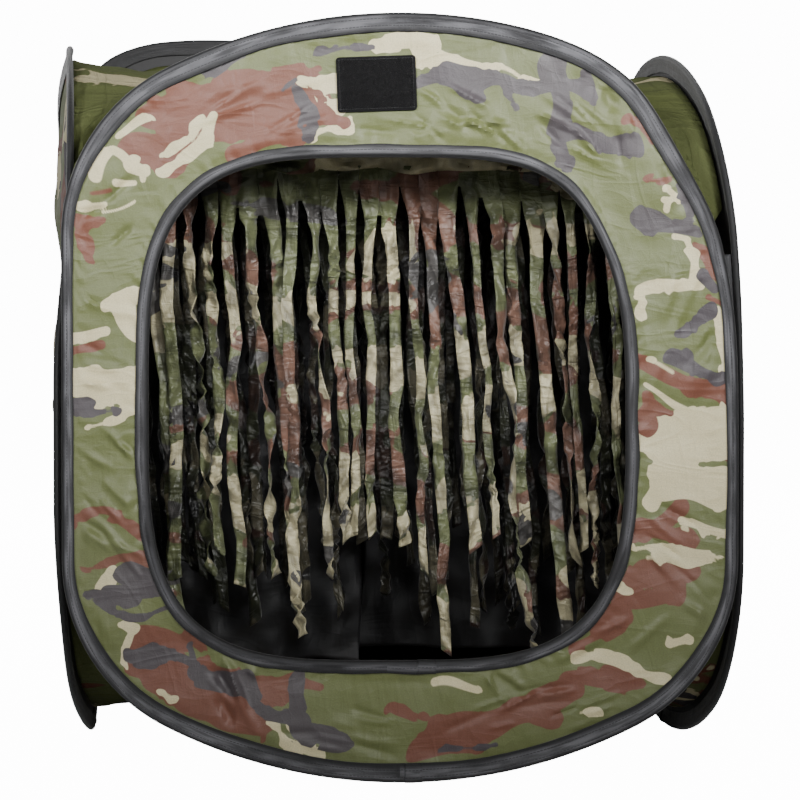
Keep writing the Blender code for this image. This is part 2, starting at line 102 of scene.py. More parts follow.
# The same where the seam strays from the hoop: along the floor, and along the roof
SEAM_INSETS = ({"left": 0.022, "right": 0.022}, {"right": 0.020, "rear": 0.027})
SEAM_STANDOFF = 0.0033       # that seam line, inward of a wall's middle plane
SEAM_SPREAD = 0.0110         # how far in from the corner the seam lines meet
CORNER_HEIGHT = 0.180        # where the roof's and the floor's corners end
TAPE_STANDOFF = 0.0042       # corner tape, inward of a wall's middle plane
CORNER_TAPE_LEG = 0.0150
PATCH_HALF_WIDTH = 0.034     # the front wall lies flatter where the patch is sewn on
PATCH_HALF_HEIGHT = 0.024
HEADER_MARGIN = 0.006        # ends of the headers, in from the roof's edges
HEADER_GATHER = 0.0060       # depth of the gathers in the strips' headers
BACKING_GATHER = 0.0015      # the same in the backing sheets' headers
HEADER_LAP = 0.004           # how far a hanging row reaches up behind its header
HEADER_GAP = 0.0013          # from the middle of a header to the middle of what hangs on it
THINNEST_STROKE = 0.0030     # half width of the print's thinnest strokes
GROUND_GAP = 0.0004          # nothing reaches further down than this

# Colours of wear, of painted highlight and shade, and of sewing, as linear red, green and blue
FADED = (0.36, 0.35, 0.30)
CLOTH_DUST = (0.16, 0.15, 0.14)
STRIP_DUST = (0.21, 0.22, 0.17)
TAPE_DUST = (0.060, 0.060, 0.064)
# painted highlight: the light caught by the tape's ridge over the wire
TAPE_HIGHLIGHT = (0.175, 0.175, 0.190)
# painted shade along the tape's edges and inner half, also the colour of random dark lines along
# it
TAPE_SHADE_AND_STREAKS = (0.004, 0.004, 0.005)
TAPE_THREAD = (0.012, 0.012, 0.014)
METAL_STAIN = (0.16, 0.12, 0.09)

# Ink patches of the front wall: rounded strokes (from across, up, to across, up, half
# width), in millimetres from the middle of the wall's foot.  Later inks cover earlier ones.
MILLIMETRE = 0.001
INKS = {
    "Brown": (
        (-180, 573, -86, 590, 27.5), (-137, 586, -94, 570, 22), (-195, 562, -192, 534, 13),
        (-231, 545, -201, 541, 12), (-141, 541, -118, 550, 7), (-130, 543, -86, 560, 7),
        (-263, 508, -251, 512, 3.5), (-274, 481, -254, 484, 6), (-274, 468, -263, 456, 7.5),
        (-86, 606, -66, 616, 3.5), (-284, 374, -256, 373, 5), (-282, 227, -244, 231, 4.5),
        (-244, 228, -222, 215, 6), (-270, 187, -251, 192, 3.5), (-251, 192, -217, 191, 4.5),
        (-222, 123, -190, 120, 8.5), (-186, 127, -172, 120, 5), (-214, 90, -175, 73, 10.5),
        (-170, 103, -152, 86, 10.5), (-164, 61, -120, 41, 6), (-128, 74, -95, 86, 12),
        (-131, 66, -115, 61, 5), (-86, 86, -68, 84, 5), (209, 362, 248, 342, 7.5),
        (248, 339, 286, 333, 9.5), (210, 329, 214, 308, 7.5), (214, 324, 236, 316, 6),
        (278, 288, 286, 276, 3.5), (262, 255, 286, 244, 5), (209, 214, 239, 235, 10.5),
        (222, 214, 248, 211, 7.5), (205, 182, 248, 180, 11), (197, 158, 235, 162, 12),
        (171, 133, 192, 145, 10.5), (151, 117, 171, 127, 5), (145, 90, 205, 86, 7.5),
        (120, 68, 150, 81, 10.5), (34, 43, 120, 62, 14.5), (13, 30, 60, 34, 11),
        (-4, 62, 17, 56, 4.5), (194, 567, 215, 554, 2.5), (210, 521, 233, 520, 3.5),
        (254, 454, 274, 439, 6),
        (262, 414, 277, 408, 4.5), (-214, 568, -184, 588, 12), (-205, 545, -180, 560, 12),
        (-218, 112, -171, 76, 18), (-171, 74, -122, 52, 16),
    ),
    "Cream": (
        (-241, 557, -215, 570, 6), (-259, 521, -246, 542, 6), (-246, 543, -233, 533, 5),
        (-231, 530, -216, 525, 7.5), (-217, 524, -218, 516, 5), (-246, 517, -228, 514, 4.5),
        (-197, 525, -181, 538, 3.5), (-181, 538, -167, 551, 7), (-198, 543, -181, 553, 3.5),
        (-180, 553, -166, 567, 5), (-167, 551, -155, 569, 5), (-272, 494, -254, 500, 4.5),
        (-254, 493, -229, 497, 3.5), (-80, 599, -58, 601, 7), (-67, 587, -54, 579, 7),
        (-72, 555, -43, 561, 3.5), (-43, 570, -41, 560, 3.5), (-21, 634, 26, 632, 8.5),
        (17, 620, 39, 620, 7), (34, 624, 68, 613, 5), (68, 613, 118, 601, 3.5),
        (229, 510, 236, 502, 4.5), (227, 500, 226, 490, 4.5), (233, 468, 248, 462, 5),
        (246, 459, 248, 439, 5), (203, 422, 252, 430, 6), (209, 419, 207, 403, 4.5),
        (214, 366, 238, 352, 2.5), (272, 402, 281, 362, 5), (274, 358, 284, 350, 4.5),
        (210, 341, 245, 320, 4.5), (229, 295, 278, 302, 23), (229, 261, 274, 254, 18),
        (214, 244, 229, 269, 8.5), (243, 223, 280, 214, 5), (202, 200, 277, 195, 3.5),
        (210, 192, 273, 191, 2.5), (-250, 413, -222, 415, 7.5), (-233, 406, -222, 385, 9.5),
        (-284, 386, -248, 386, 7), (-278, 344, -222, 351, 8.5), (-256, 333, -229, 332, 10.5),
        (-263, 308, -239, 311, 3.5), (-239, 314, -227, 325, 5), (-246, 180, -253, 162, 6),
        (-243, 139, -229, 131, 5), (-234, 124, -233, 107, 5), (-111, 49, -94, 33, 3.5),
        (-94, 33, -72, 27, 4.5), (-94, 48, -75, 34, 3.5), (-208, 82, -192, 74, 2.5),
        (30, 84, 67, 81, 4.5), (152, 107, 171, 109, 4.5), (171, 108, 226, 92, 4.5),
        (234, 119, 245, 123, 4.5), (-86, 44, -70, 25, 2.5), (150, 59, 171, 62, 1.5),
        (192, 171, 200, 167, 3.5),
    ),
    "Rust": (
        (210, 327, 214, 310, 6), (-75, 594, -67, 590, 3.5), (-70, 581, -64, 573, 4.5),
        (-70, 566, -47, 567, 5),
    ),
    "Charcoal": (
        (-166, 610, -133, 619, 2.5), (-100, 591, -87, 601, 3.5), (-86, 589, -81, 570, 7),
        (-81, 570, -76, 557, 4.5), (-67, 627, -47, 633, 3.5), (-47, 631, -27, 632, 3.5),
        (17, 603, 43, 604, 7.5), (40, 610, 64, 606, 7), (64, 603, 103, 597, 6),
        (51, 598, 65, 586, 4.5), (90, 590, 99, 577, 3.5), (133, 622, 135, 564, 9.5),
        (96, 596, 161, 593, 7),
        (159, 608, 164, 591, 5), (137, 564, 137, 534, 7), (145, 554, 195, 544, 7.5),
        (211, 484, 259, 469, 7), (241, 509, 251, 490, 6), (256, 440, 270, 425, 6),
        (239, 386, 265, 404, 7.5), (231, 365, 274, 346, 7), (-284, 321, -265, 329, 4.5),
        (-235, 179, -208, 170, 7.5), (-248, 159, -227, 162, 4.5), (-270, 156, -216, 143, 4.5),
        (-216, 143, -198, 151, 4.5), (-230, 111, -178, 104, 6), (-185, 119, -177, 103, 5),
        (-176, 96, -144, 81, 8.5), (-134, 85, -111, 60, 6), (-111, 59, -79, 50, 6),
        (-90, 91, -86, 63, 7), (-86, 45, -48, 36, 7), (32, 25, 80, 34, 2.5),
        (-265, 322, -245, 318, 1.5),
    ),
}

# Creases of the front wall, in groups spread about a point: across, up, spread across,
# spread up, direction in degrees, length, count, height and half width, in millimetres.
FRONT_CREASES = (
    (98, 567, 75, 30, -36, 55, 18, 0.9, 2.4),
    (26, 561, 62, 9, -6, 60, 6, 0.7, 2.2),
    (186, 572, 18, 28, -80, 55, 5, 1.4, 4.5),
    (-252, 244, 26, 50, -38, 55, 14, 1.0, 2.6),
    (-144, 74, 24, 34, -58, 55, 6, 1.7, 4.5),
    (107, 64, 80, 18, 16, 45, 12, 0.8, 2.4),
    (100, 84, 30, 10, -48, 45, 4, 1.1, 3.0),
    (239, 380, 22, 40, 62, 55, 7, 1.0, 4.0),
    (-252, 490, 20, 22, 32, 40, 6, 0.9, 3.2),
    (-120, 585, 50, 26, 24, 60, 8, 0.8, 3.2),
    (-250, 370, 22, 60, -20, 40, 8, 0.6, 3.0),
    (240, 200, 24, 60, -42, 45, 9, 0.8, 2.8),
    (-40, 50, 70, 24, -12, 60, 8, 0.7, 3.2),
    (180, 110, 40, 26, 38, 45, 6, 0.9, 3.0),
)
CREASE_GAIN = 3.0            # how much higher they stand, for their light and shade to show

# Broad and fine waves of the cloths: wavelength and height.  The roof's wavelengths are
# shares of its half width.
FRONT_WAVES = ((0.11, 0.0011), (0.045, 0.0004))
WALL_WAVES = ((0.16, 0.0016), (0.05, 0.0005))
ROOF_WAVES = ((0.5, 0.0012), (0.14, 0.0005))
INK_WAVES = ((0.045, 0.0024),)  # how the ink patches' outlines wander from their strokes

# Half of a tape's section, by the share of the way from its fold to its mouth
FOLD_SHARES = (0, 0.07, 0.15, 0.26, 0.42)
FOLD_DEPTHS = (0.0004, 0.0008, 0.0019, 0.0037, 0.0062)
LIP_SHARES = (*FOLD_SHARES, 0.62, 1)
LIP_BULGES = (0.0, 0.0013, 0.0024, POCKET, 0.0024, 0.0016, MOUTH)


# ---- Settings ------------------------------------------------------------------------

def length(name, description, default):
    """A length in metres."""
    return FloatProperty(name=name, description=description, default=default, unit="LENGTH")


def share(name, description, default):
    """A number without a unit."""
    return FloatProperty(name=name, description=description, default=default)


def rotation(name, description, default):
    """An angle, given in degrees."""
    return FloatProperty(name=name, description=description, default=radians(default),
                         subtype="ANGLE")


def location(name, description, default):
    """A place, in metres."""
    return FloatVectorProperty(name=name, description=description, default=default,
                               size=3, subtype="XYZ", unit="LENGTH")


def colour(name, description, default):
    """A linear colour."""
    return FloatVectorProperty(name=name, description=description, default=default,
                               size=3, min=0, max=1, subtype="COLOR")


class HoopSettings(bpy.types.PropertyGroup):
    """Outlines of the hoops, the opening and their bindings."""

    width: length("Width", "Outer width of every hoop", round(FRONT_HIGH.x - FRONT_LOW.x, 4))
    height: length("Height", "Outer height of the front and side hoops", 0.660)
    crown: length("Crown radius", "Arch of their top and bottom edges", 0.445)
    corner: length("Corner radius", "Their rounded corners", 0.162)
    rear_height: length("Rear height", "Outer height of the rear hoop", 0.700)
    rear_crown: length("Rear crown radius", "Arch of its top and bottom", 1.150)
    rear_corner: length("Rear corner radius", "Its rounded corners", 0.115)
    binding: length("Binding", "Tape seen round the walls", 0.0165)
    opening_binding: length("Opening binding", "Tape seen round the opening", 0.0115)
    squareness: share("Squareness", "Exponent of the opening's rounded square", 3.6)
    pull: length("Corner pull", "How far the upper right corner is drawn in", 0.031)
    droop: length("Droop", "How far the right wall's top leans in and sinks", 0.013)
    splay: length("Splay", "How far the left wall's upper rear leans out", 0.018)
    bulge: length("Bulge", "Outward swell of the side and rear cloths", 0.006)
    bow: length("Bow", "How far the side walls' front edges bow out", 0.0045)
    crest: length("Crest", "Rise of the rear hoop beside its upper left corner", 0.011)
    narrowing: share("Narrowing", "Share of a binding's width lost at the sides", 0.36)
    roof_billow: length("Roof billow", "Lift of the roof's middle", 0.006)
    floor_billow: length("Floor billow", "Drop of the floor's middle", 0.012)


class CurtainSettings(bpy.types.PropertyGroup):
    """Rows of hanging strips and the sheets behind them."""

    pitch: length("Pitch", "Spacing of the strips in a row", 0.0180)
    strip: length("Strip", "Width of a strip", 0.0112)
    band: length("Band", "Uncut band along the top of a row", 0.0120)
    shortest: length("Shortest", "Shortest strip", 0.330)
    longest: length("Longest", "Longest strip", 0.440)
    slant: share("Slant", "Sideways run of the strips for each metre down", 0.055)
    crumple: length("Crumple", "Height of the zigzag creases across a strip", 0.0034)
    bend_step: length("Bend step", "Spacing of the bends down a strip", 0.036)
    crease_step: length("Crease step", "Spacing of those creases", 0.021)
    keep: share("Folded thickness", "Share of the depth kept by the folded cloth", 0.012)


class ClothSettings(bpy.types.PropertyGroup):
    """Colours of the cloths and tapes."""

    green: colour("Green", "Ground colour of the print", (0.150, 0.174, 0.058))
    brown: colour("Brown", "Brown ink", (0.195, 0.066, 0.038))
    cream: colour("Cream", "Cream ink", (0.740, 0.660, 0.400))
    charcoal: colour("Charcoal", "Charcoal ink", (0.070, 0.059, 0.067))
    reverse: colour("Reverse", "Dark coating inside the walls", (0.010, 0.010, 0.011))
    tape: colour("Tape", "Binding tape", (0.0140, 0.0135, 0.0160))
    backing: colour("Backing", "Backing sheets", (0.026, 0.026, 0.028))
    pile: colour("Pile", "Loop fastener", (0.0045, 0.0045, 0.0052))
    weave: length("Weave", "Spacing of the cloth's threads", 0.0006)


class StageSettings(bpy.types.PropertyGroup):
    """Floor, lights and camera."""

    eye: location("Eye", "Where the camera stands", (FRONT_MIDDLE.x, -2.353, 0.415))
    tilt: rotation("Tilt", "How far the camera looks down", 1.2)
    focal: share("Focal length", "Of a 36 mm wide picture, in millimetres", 108.4)
    shift: share("Shift", "Upward shift of the picture, as a share of its width", -0.0625)
    floor: length("Floor", "Side of the square floor", 30.0)
    key: share("Key light", "Power of the light on the right, in watts", 262.0)
    second: share("Second light", "Power of the light on the left, in watts", 202.0)
    sheen: share("Sheen light", "Power of the light over the camera, in watts", 62.0)
    key_place: location("Key place", "Where the right one stands", (1.15, -2.25, 1.30))
    key_target: location("Key target", "Where both point", (0.02, -0.29, 0.93))
    key_cone: rotation("Key cone", "Full angle of their cones", 48)
    sheen_place: location("Sheen place", "Where the sheen light stands", (0.25, -2.65, 1.02))
    sheen_target: location("Sheen target", "Where it points", (0.03, -0.29, 0.70))
    sheen_cone: rotation("Sheen cone", "Full angle of its cone", 34)
    fill: share("Fill light", "Power of the light beside the camera, in watts", 1.3)
    fill_place: location("Fill place", "Where it stands", (0.0, -2.6, 0.6))
    fill_target: location("Fill target", "Where it points", (0.0, 0.0, 0.3))
    rear: share("Rear lights", "Power of each of the two behind the blind, in watts", 30.0)
    rear_place: location("Rear place", "Where the right one stands", (1.8, 2.0, 1.3))
    rear_target: location("Rear target", "Where they point", (0.0, 0.1, 0.35))
    sky: share("Sky", "Strength of the light from the surroundings", 0.13)
    backdrop: share("Backdrop", "How bright the surroundings look", 14.0)


SETTINGS = {
    "blind_hoops": HoopSettings,
    "blind_curtains": CurtainSettings,
    "blind_cloths": ClothSettings,
    "blind_stage": StageSettings,
}


# ---- Curves and fields ---------------------------------------------------------------

def smooth(low, high, value):
    """0 below low, 1 above high and a smooth rise between them."""
    part = np.clip((value - low) / (high - low), 0, 1)
    return part * part * (3 - 2 * part)


def ripples(seed, wavelength, x, y=0.0, waves=9):
    """A smooth random field of about unit height: a sum of sine waves of like lengths."""
    draw = np.random.default_rng(seed)
    total = 0.0
    for _ in range(waves):
        angle = draw.uniform(0, 2 * pi)
        size = 2 * pi / (wavelength * draw.uniform(0.7, 1.7))
        phase = draw.uniform(0, 2 * pi)
        total = total + np.sin((x * cos(angle) + y * sin(angle)) * size + phase)
    return total * sqrt(2 / waves)


def swells(seed, waves, x, y=0.0):
    """The sum of several ripples; each wave is a wavelength and a height."""
    return sum(height * ripples(seed + index, wavelength, x, y)
               for index, (wavelength, height) in enumerate(waves))


def relax(grid, times, pull=0.0):
    """Move a grid's inner points to the middle of their neighbours, over and over."""
    for _ in range(times):
        around = grid[:-2, 1:-1] + grid[2:, 1:-1] + grid[1:-1, :-2] + grid[1:-1, 2:]
        grid[1:-1, 1:-1] = around / 4 + pull


def stroke_field(strokes, across, up):
    """Depth inside the nearest of several rounded strokes, negative outside them all."""
    field = np.full(across.shape, -1.0)
    for stroke in strokes:
        x0, z0, x1, z1, radius = (value * MILLIMETRE for value in stroke)
        radius = max(radius, THINNEST_STROKE)
        dx, dz = x1 - x0, z1 - z0
        along = ((across - x0) * dx + (up - z0) * dz) / (dx * dx + dz * dz)
        along = np.clip(along, 0, 1)
        gap = np.hypot(across - x0 - along * dx, up - z0 - along * dz)
        inside = (radius ** 2 - gap ** 2) / (2 * radius)
        field = np.maximum(field, np.where(gap < radius, inside, radius - gap))
    return field


def crease_height(seed, groups, across, up):
    """Height of groups of straight ridges and valleys, each fading out along its run."""
    draw = np.random.default_rng(seed)
    total = np.zeros(across.shape)
    for group in groups:
        x, z, spread_x, spread_z, degrees, run, count, height, width = group
        for _ in range(count):
            middle_x = (x + draw.uniform(-spread_x, spread_x)) * MILLIMETRE
            middle_z = (z + draw.uniform(-spread_z, spread_z)) * MILLIMETRE
            angle = radians(degrees + draw.uniform(-14, 14))
            half = run * MILLIMETRE * draw.uniform(0.3, 0.7)
            reach = width * MILLIMETRE * draw.uniform(0.7, 1.4)
            bend = draw.uniform(-1.5, 1.5)
            peak = height * MILLIMETRE * draw.uniform(0.5, 1.2) * draw.choice((1, 1, -1))
            dx, dz = across - middle_x, up - middle_z
            along = dx * cos(angle) + dz * sin(angle)
            aside = dz * cos(angle) - dx * sin(angle) + bend * along * along
            fade = 1 - smooth(0.3 * half, half, abs(along))
            total += peak * fade * np.exp(-(aside / reach) ** 2)
    return total


class Loop:
    """A closed outline of (across, up), read by the share of the way round it."""

    def __init__(self, quarter):
        right = np.vstack((quarter, quarter[-2::-1] * (1, -1)))
        whole = np.vstack((right, right[-2:0:-1] * (-1, 1), right[:1]))
        steps = np.hypot(*np.diff(whole, axis=0).T)
        self.shares = np.concatenate(([0], np.cumsum(steps))) / steps.sum()
        self.points = whole - (0, whole[:, 1].min())
        self.length = steps.sum()

    def at(self, part, depth=0.0):
        """Points at shares of the way round, moved inwards by a depth."""
        ahead, behind = self._read(part + 0.002), self._read(part - 0.002)
        run = ahead - behind
        run = run / np.hypot(run[..., 0], run[..., 1])[..., None]
        inward = np.stack((-run[..., 1], run[..., 0]), axis=-1)
        return self._read(part) + inward * np.asarray(depth)[..., None]

    def _read(self, part):
        part = np.asarray(part) % 1.0
        return np.stack([np.interp(part, self.shares, self.points[:, i]) for i in (0, 1)],
                        axis=-1)

    def area(self, depth=0.0):
        """The area inside the loop moved inwards by a depth."""
        x, z = self.at(np.linspace(0, 1, 400, endpoint=False), depth).T
        return abs(np.dot(x, np.roll(z, -1)) - np.dot(z, np.roll(x, -1))) / 2


def hoop_loop(width, height, crown_radius, corner_radius):
    """Arched top and bottom, round corners and straight sides, all tangent."""
    crown_centre = height / 2 - crown_radius
    corner_x = width / 2 - corner_radius
    corner_z = crown_centre + sqrt((crown_radius - corner_radius) ** 2 - corner_x ** 2)
    tangent = atan2(corner_z - crown_centre, corner_x)
    a, b = np.linspace(pi / 2, tangent, 90), np.linspace(tangent, 0, 90)
    crown = np.column_stack((np.cos(a), -np.sin(a))) * crown_radius + (0, -crown_centre)
    corner = np.column_stack((np.cos(b), -np.sin(b))) * corner_radius + (corner_x, -corner_z)
    return Loop(np.vstack((crown, corner[1:], (width / 2, 0))))


def opening_loop(hoops):
    """Rounded square whose four sides are all slightly arched, in the front wall."""
    low, high = HOLE_LOW - FRONT_MIDDLE, HOLE_HIGH - FRONT_MIDDLE
    width = high.x - low.x - 2 * hoops.opening_binding
    height = high.z - low.z - 2 * hoops.opening_binding
    a = np.linspace(0, pi / 2, 160)
    power = 2 / hoops.squareness
    loop = Loop(np.column_stack((width / 2 * np.abs(np.sin(a)) ** power,
                                 -height / 2 * np.abs(np.cos(a)) ** power)))
    loop.points += ((low.x + high.x) / 2, HOLE_LOW.z + hoops.opening_binding)
    return loop


class Wall:
    """One hoop wall: where it stands, which way it faces and its outline."""

    def __init__(self, name, body, centre, turn, loop):
        self.name, self.body, self.loop = name, body, loop
        self.centre = np.array((centre[0], centre[1], 0.0))
        self.across = np.array((cos(turn), sin(turn), 0.0))
        self.inward = np.array((-sin(turn), cos(turn), 0.0))

    def place(self, across, inward, up):
        """Points of the wall's own frame in the row frame."""
        across, inward, up = np.broadcast_arrays(across, inward, up)
        points = (self.centre + across[..., None] * self.across
                  + inward[..., None] * self.inward)
        points[..., 2] += up
        return sag(points, self.name)


def sag(points, wall):
    """Lean the tops of the hoops as they stand: none of them is quite true."""
    hoops = bpy.context.scene.blind_hoops
    x, y, z = points[..., 0], points[..., 1], points[..., 2]
    behind = y - FRONT_MIDDLE.y
    moved = points.copy()
    if wall == "front":
        near = hoops.pull * np.exp(-((x - FRONT_HIGH.x + 0.035) ** 2 / (2 * 0.055 ** 2)
                                     + (z - FRONT_HIGH.z + 0.125) ** 2 / (2 * 0.070 ** 2)))
        moved[..., 0] -= near * 0.86
        moved[..., 2] -= near * 0.50
    elif wall == "right":
        high = hoops.droop * smooth(0.40, 0.62, z) * (1 - smooth(0.30, 0.55, behind))
        bow = hoops.bow * smooth(0.05, 0.20, z) * (1 - smooth(0.30, 0.46, z))
        moved[..., 0] += 0.7 * bow * (1 - smooth(0.10, 0.30, behind)) - high
        moved[..., 2] -= high * 0.7
    elif wall == "left":
        high = hoops.splay * smooth(0.34, 0.52, z)
        low = hoops.splay * (1 - smooth(0.03, 0.24, z)) * smooth(-0.06, 0.24, behind)
        bow = hoops.bow * smooth(0.10, 0.24, z) * (1 - smooth(0.34, 0.50, z))
        moved[..., 0] -= bow * (1 - smooth(0.10, 0.30, behind))
        moved[..., 0] += high * 0.4 * (1 - smooth(0.0, 0.26, behind))
        moved[..., 0] -= high * smooth(0.26, 0.50, behind)
        moved[..., 0] += low * 1.1 * (1 - smooth(0.38, 0.55, behind))
    elif wall == "rear":
        near = hoops.splay * np.exp(-((x - REAR_LOW.x - 0.02) ** 2 + (z - 0.655) ** 2)
                                    / (2 * 0.045 ** 2))
        crest = hoops.crest * np.exp(-(x - REAR_LOW.x - 0.108) ** 2 / (2 * 0.05 ** 2))
        moved[..., 0] -= near * 0.7
        moved[..., 2] += near * 0.9 + crest * smooth(0.55, 0.65, z)
    moved[..., 2] = np.maximum(moved[..., 2], GROUND_GAP)
    return moved


def make_walls():
    """The four walls, where the frame has them."""
    hoops = bpy.context.scene.blind_hoops
    lean = asin((FRONT_MIDDLE.x - REAR_MIDDLE.x) / hoops.width)
    loop = hoop_loop(hoops.width, hoops.height, hoops.crown, hoops.corner)
    rear = hoop_loop(hoops.width, hoops.rear_height, hoops.rear_crown, hoops.rear_corner)
    half = hoops.width / 2
    return {
        "front": Wall("front", "front", FRONT_MIDDLE, 0, loop),
        "left": Wall("left", "left_wall", (-half, 0), lean - pi / 2, loop),
        "right": Wall("right", "right_wall", (half, 0), lean + pi / 2, loop),
        "rear": Wall("rear", "rear_wall", REAR_MIDDLE, pi, rear),
    }


# ---- Meshes --------------------------------------------------------------------------

def mesh_from(bm, name):
    """A mesh of what a bmesh holds, which is done with."""
    mesh = bpy.data.meshes.new(name)
    bm.to_mesh(mesh)
    bm.free()
    return mesh


def grid_mesh(name, columns, rows, shape, size, closed=False, cut=None, plan=None):
    """A grid of faces moved into shape(u, v), with its flat size in metres as its UV map.

    cut(u, v) is true where a face, read at its middle, is left out.  plan(u, v) gives the
    flat cloth's own points where it isn't a plain rectangle.
    """
    bm = bmesh.new()
    bmesh.ops.create_grid(bm, x_segments=columns, y_segments=rows, size=0.5)
    if cut is not None:
        gone = [f for f in bm.faces if cut(*(value + 0.5 for value in f.calc_center_median().xy))]
        bmesh.ops.delete(bm, geom=gone, context="FACES")
    mesh = mesh_from(bm, name)
    flat = read_points(mesh)[:, :2] + 0.5
    write_points(mesh, shape(flat[:, 0], flat[:, 1]))
    corners = np.empty(len(mesh.loops), np.int32)
    mesh.loops.foreach_get("vertex_index", corners)
    uv = mesh.uv_layers.new(name="Flat")
    laid = flat * size if plan is None else plan(flat[:, 0], flat[:, 1])
    uv.uv.foreach_set("vector", laid[corners].astype(np.float32).ravel())
    if closed:
        merge(mesh)
    return mesh


def merge(mesh):
    """Join points that lie in one place."""
    bm = bmesh.new()
    bm.from_mesh(mesh)
    bmesh.ops.remove_doubles(bm, verts=bm.verts, dist=1e-6)
    bm.to_mesh(mesh)
    bm.free()


def read_points(mesh):
    """The mesh's points as rows of an array."""
    points = np.empty(len(mesh.vertices) * 3, np.float32)
    mesh.vertices.foreach_get("co", points)
    return points.reshape(-1, 3).astype(float)


def write_points(mesh, points):
    """Move the mesh's points."""
    mesh.vertices.foreach_set("co", np.ascontiguousarray(points, np.float32).ravel())
    mesh.update()


def keep_fields(mesh, fields):
    """Store named numbers at the mesh's points, for its materials to read."""
    for title, field in fields.items():
        mesh.attributes.new(title, "FLOAT", "POINT").data.foreach_set(
            "value", field.astype(np.float32))


def make_piece(mesh, *materials, thickness=0.0, sharp=40.0):
    """An object of the mesh, with its thickness made part of it."""
    thing = bpy.data.objects.new(mesh.name, mesh)
    bpy.context.scene.collection.objects.link(thing)
    for material in materials:
        mesh.materials.append(material)
    mesh.shade_smooth()
    mesh.set_sharp_from_angle(angle=radians(sharp))
    if thickness:
        solid = thing.modifiers.new("Thickness", "SOLIDIFY")
        solid.thickness = thickness
        solid.offset = 0
        solid.material_offset = len(materials) - 1
        bpy.context.view_layer.update()
        graph = bpy.context.evaluated_depsgraph_get()
        thing.data = bpy.data.meshes.new_from_object(thing.evaluated_get(graph))
        thing.modifiers.clear()
        bpy.data.meshes.remove(mesh)
    return thing


def fold_flat(*things):
    """Give each of the pieces its own copy of its mesh."""
    for thing in things:
        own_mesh(thing)


# ---- Shader nodes --------------------------------------------------------------------

def add(tree, kind, inputs=None, **settings):
    """Add a node, choose its settings and fill or link its inputs."""
    made = tree.nodes.new(kind)
    for name, value in settings.items():
        setattr(made, name, value)
    for name, value in (inputs or {}).items():
        if isinstance(value, bpy.types.NodeSocket):
            tree.links.new(value, made.inputs[name])
        else:
            made.inputs[name].default_value = value
    return made


def calc(tree, operation, *values):
    """The result of a math node."""
    inputs = dict(enumerate(values))
    return add(tree, "ShaderNodeMath", inputs, operation=operation).outputs[0]


def noise(tree, position, scale, detail=2.0, distortion=0.0, rough=0.5):
    """The value of a noise texture."""
    return add(tree, "ShaderNodeTexNoise", {
        "Vector": position, "Scale": scale, "Detail": detail, "Roughness": rough,
        "Distortion": distortion}).outputs[0]


def ramp(tree, value, low, high, to_low=0.0, to_high=1.0):
    """A value taken from one range to another, and kept inside it."""
    return add(tree, "ShaderNodeMapRange", {
        "Value": value, "From Min": low, "From Max": high, "To Min": to_low,
        "To Max": to_high}).outputs[0]


def mix(tree, factor, one, other, blend="MIX"):
    """One colour mixed with another, each a socket or red, green and blue."""
    made = add(tree, "ShaderNodeMix", data_type="RGBA", blend_type=blend)
    for index, value in ((0, factor), (6, one), (7, other)):
        if isinstance(value, bpy.types.NodeSocket):
            tree.links.new(value, made.inputs[index])
        else:
            made.inputs[index].default_value = (*value, 1.0) if index else value
    return made.outputs[2]


def shaded(tree, base, value):
    """A colour made darker or lighter by a grey value."""
    grey = add(tree, "ShaderNodeCombineColor", {"Red": value, "Green": value, "Blue": value})
    return mix(tree, 1.0, base, grey.outputs[0], "MULTIPLY")


def stretched(tree, position, *scale):
    """A position with each of its axes scaled."""
    return add(tree, "ShaderNodeVectorMath", {0: position, 1: scale},
               operation="MULTIPLY").outputs[0]


SOCKETS = {"float": "NodeSocketFloat", "vector": "NodeSocketVector", "colour": "NodeSocketColor"}


def offset_from(tree, value, level):
    """How far a value is from a level."""
    return calc(tree, "ABSOLUTE", calc(tree, "SUBTRACT", value, level))


def shifted(tree, position, offset):
    """A position moved by an offset."""
    return add(tree, "ShaderNodeVectorMath", {0: position, 1: offset},
               operation="ADD").outputs[0]


def split(tree, position):
    """The three parts of a position."""
    return add(tree, "ShaderNodeSeparateXYZ", {0: position}).outputs


def field_value(tree, title):
    """A number kept at the piece's points."""
    return add(tree, "ShaderNodeAttribute", attribute_name=title).outputs["Fac"]


def begin_group(name, inputs, outputs):
    """A new node group with named sockets, and its input and output nodes."""
    tree = bpy.data.node_groups.new(name, "ShaderNodeTree")
    for direction, sockets in (("INPUT", inputs), ("OUTPUT", outputs)):
        for title, kind in sockets.items():
            tree.interface.new_socket(title, in_out=direction, socket_type=SOCKETS[kind])
    return tree, add(tree, "NodeGroupInput").outputs, add(tree, "NodeGroupOutput").inputs


def use(tree, group, **inputs):
    """The outputs of a group, with its inputs filled or linked."""
    named = {name.replace("_", " "): value for name, value in inputs.items()}
    return add(tree, "ShaderNodeGroup", named, node_tree=bpy.data.node_groups[group]).outputs


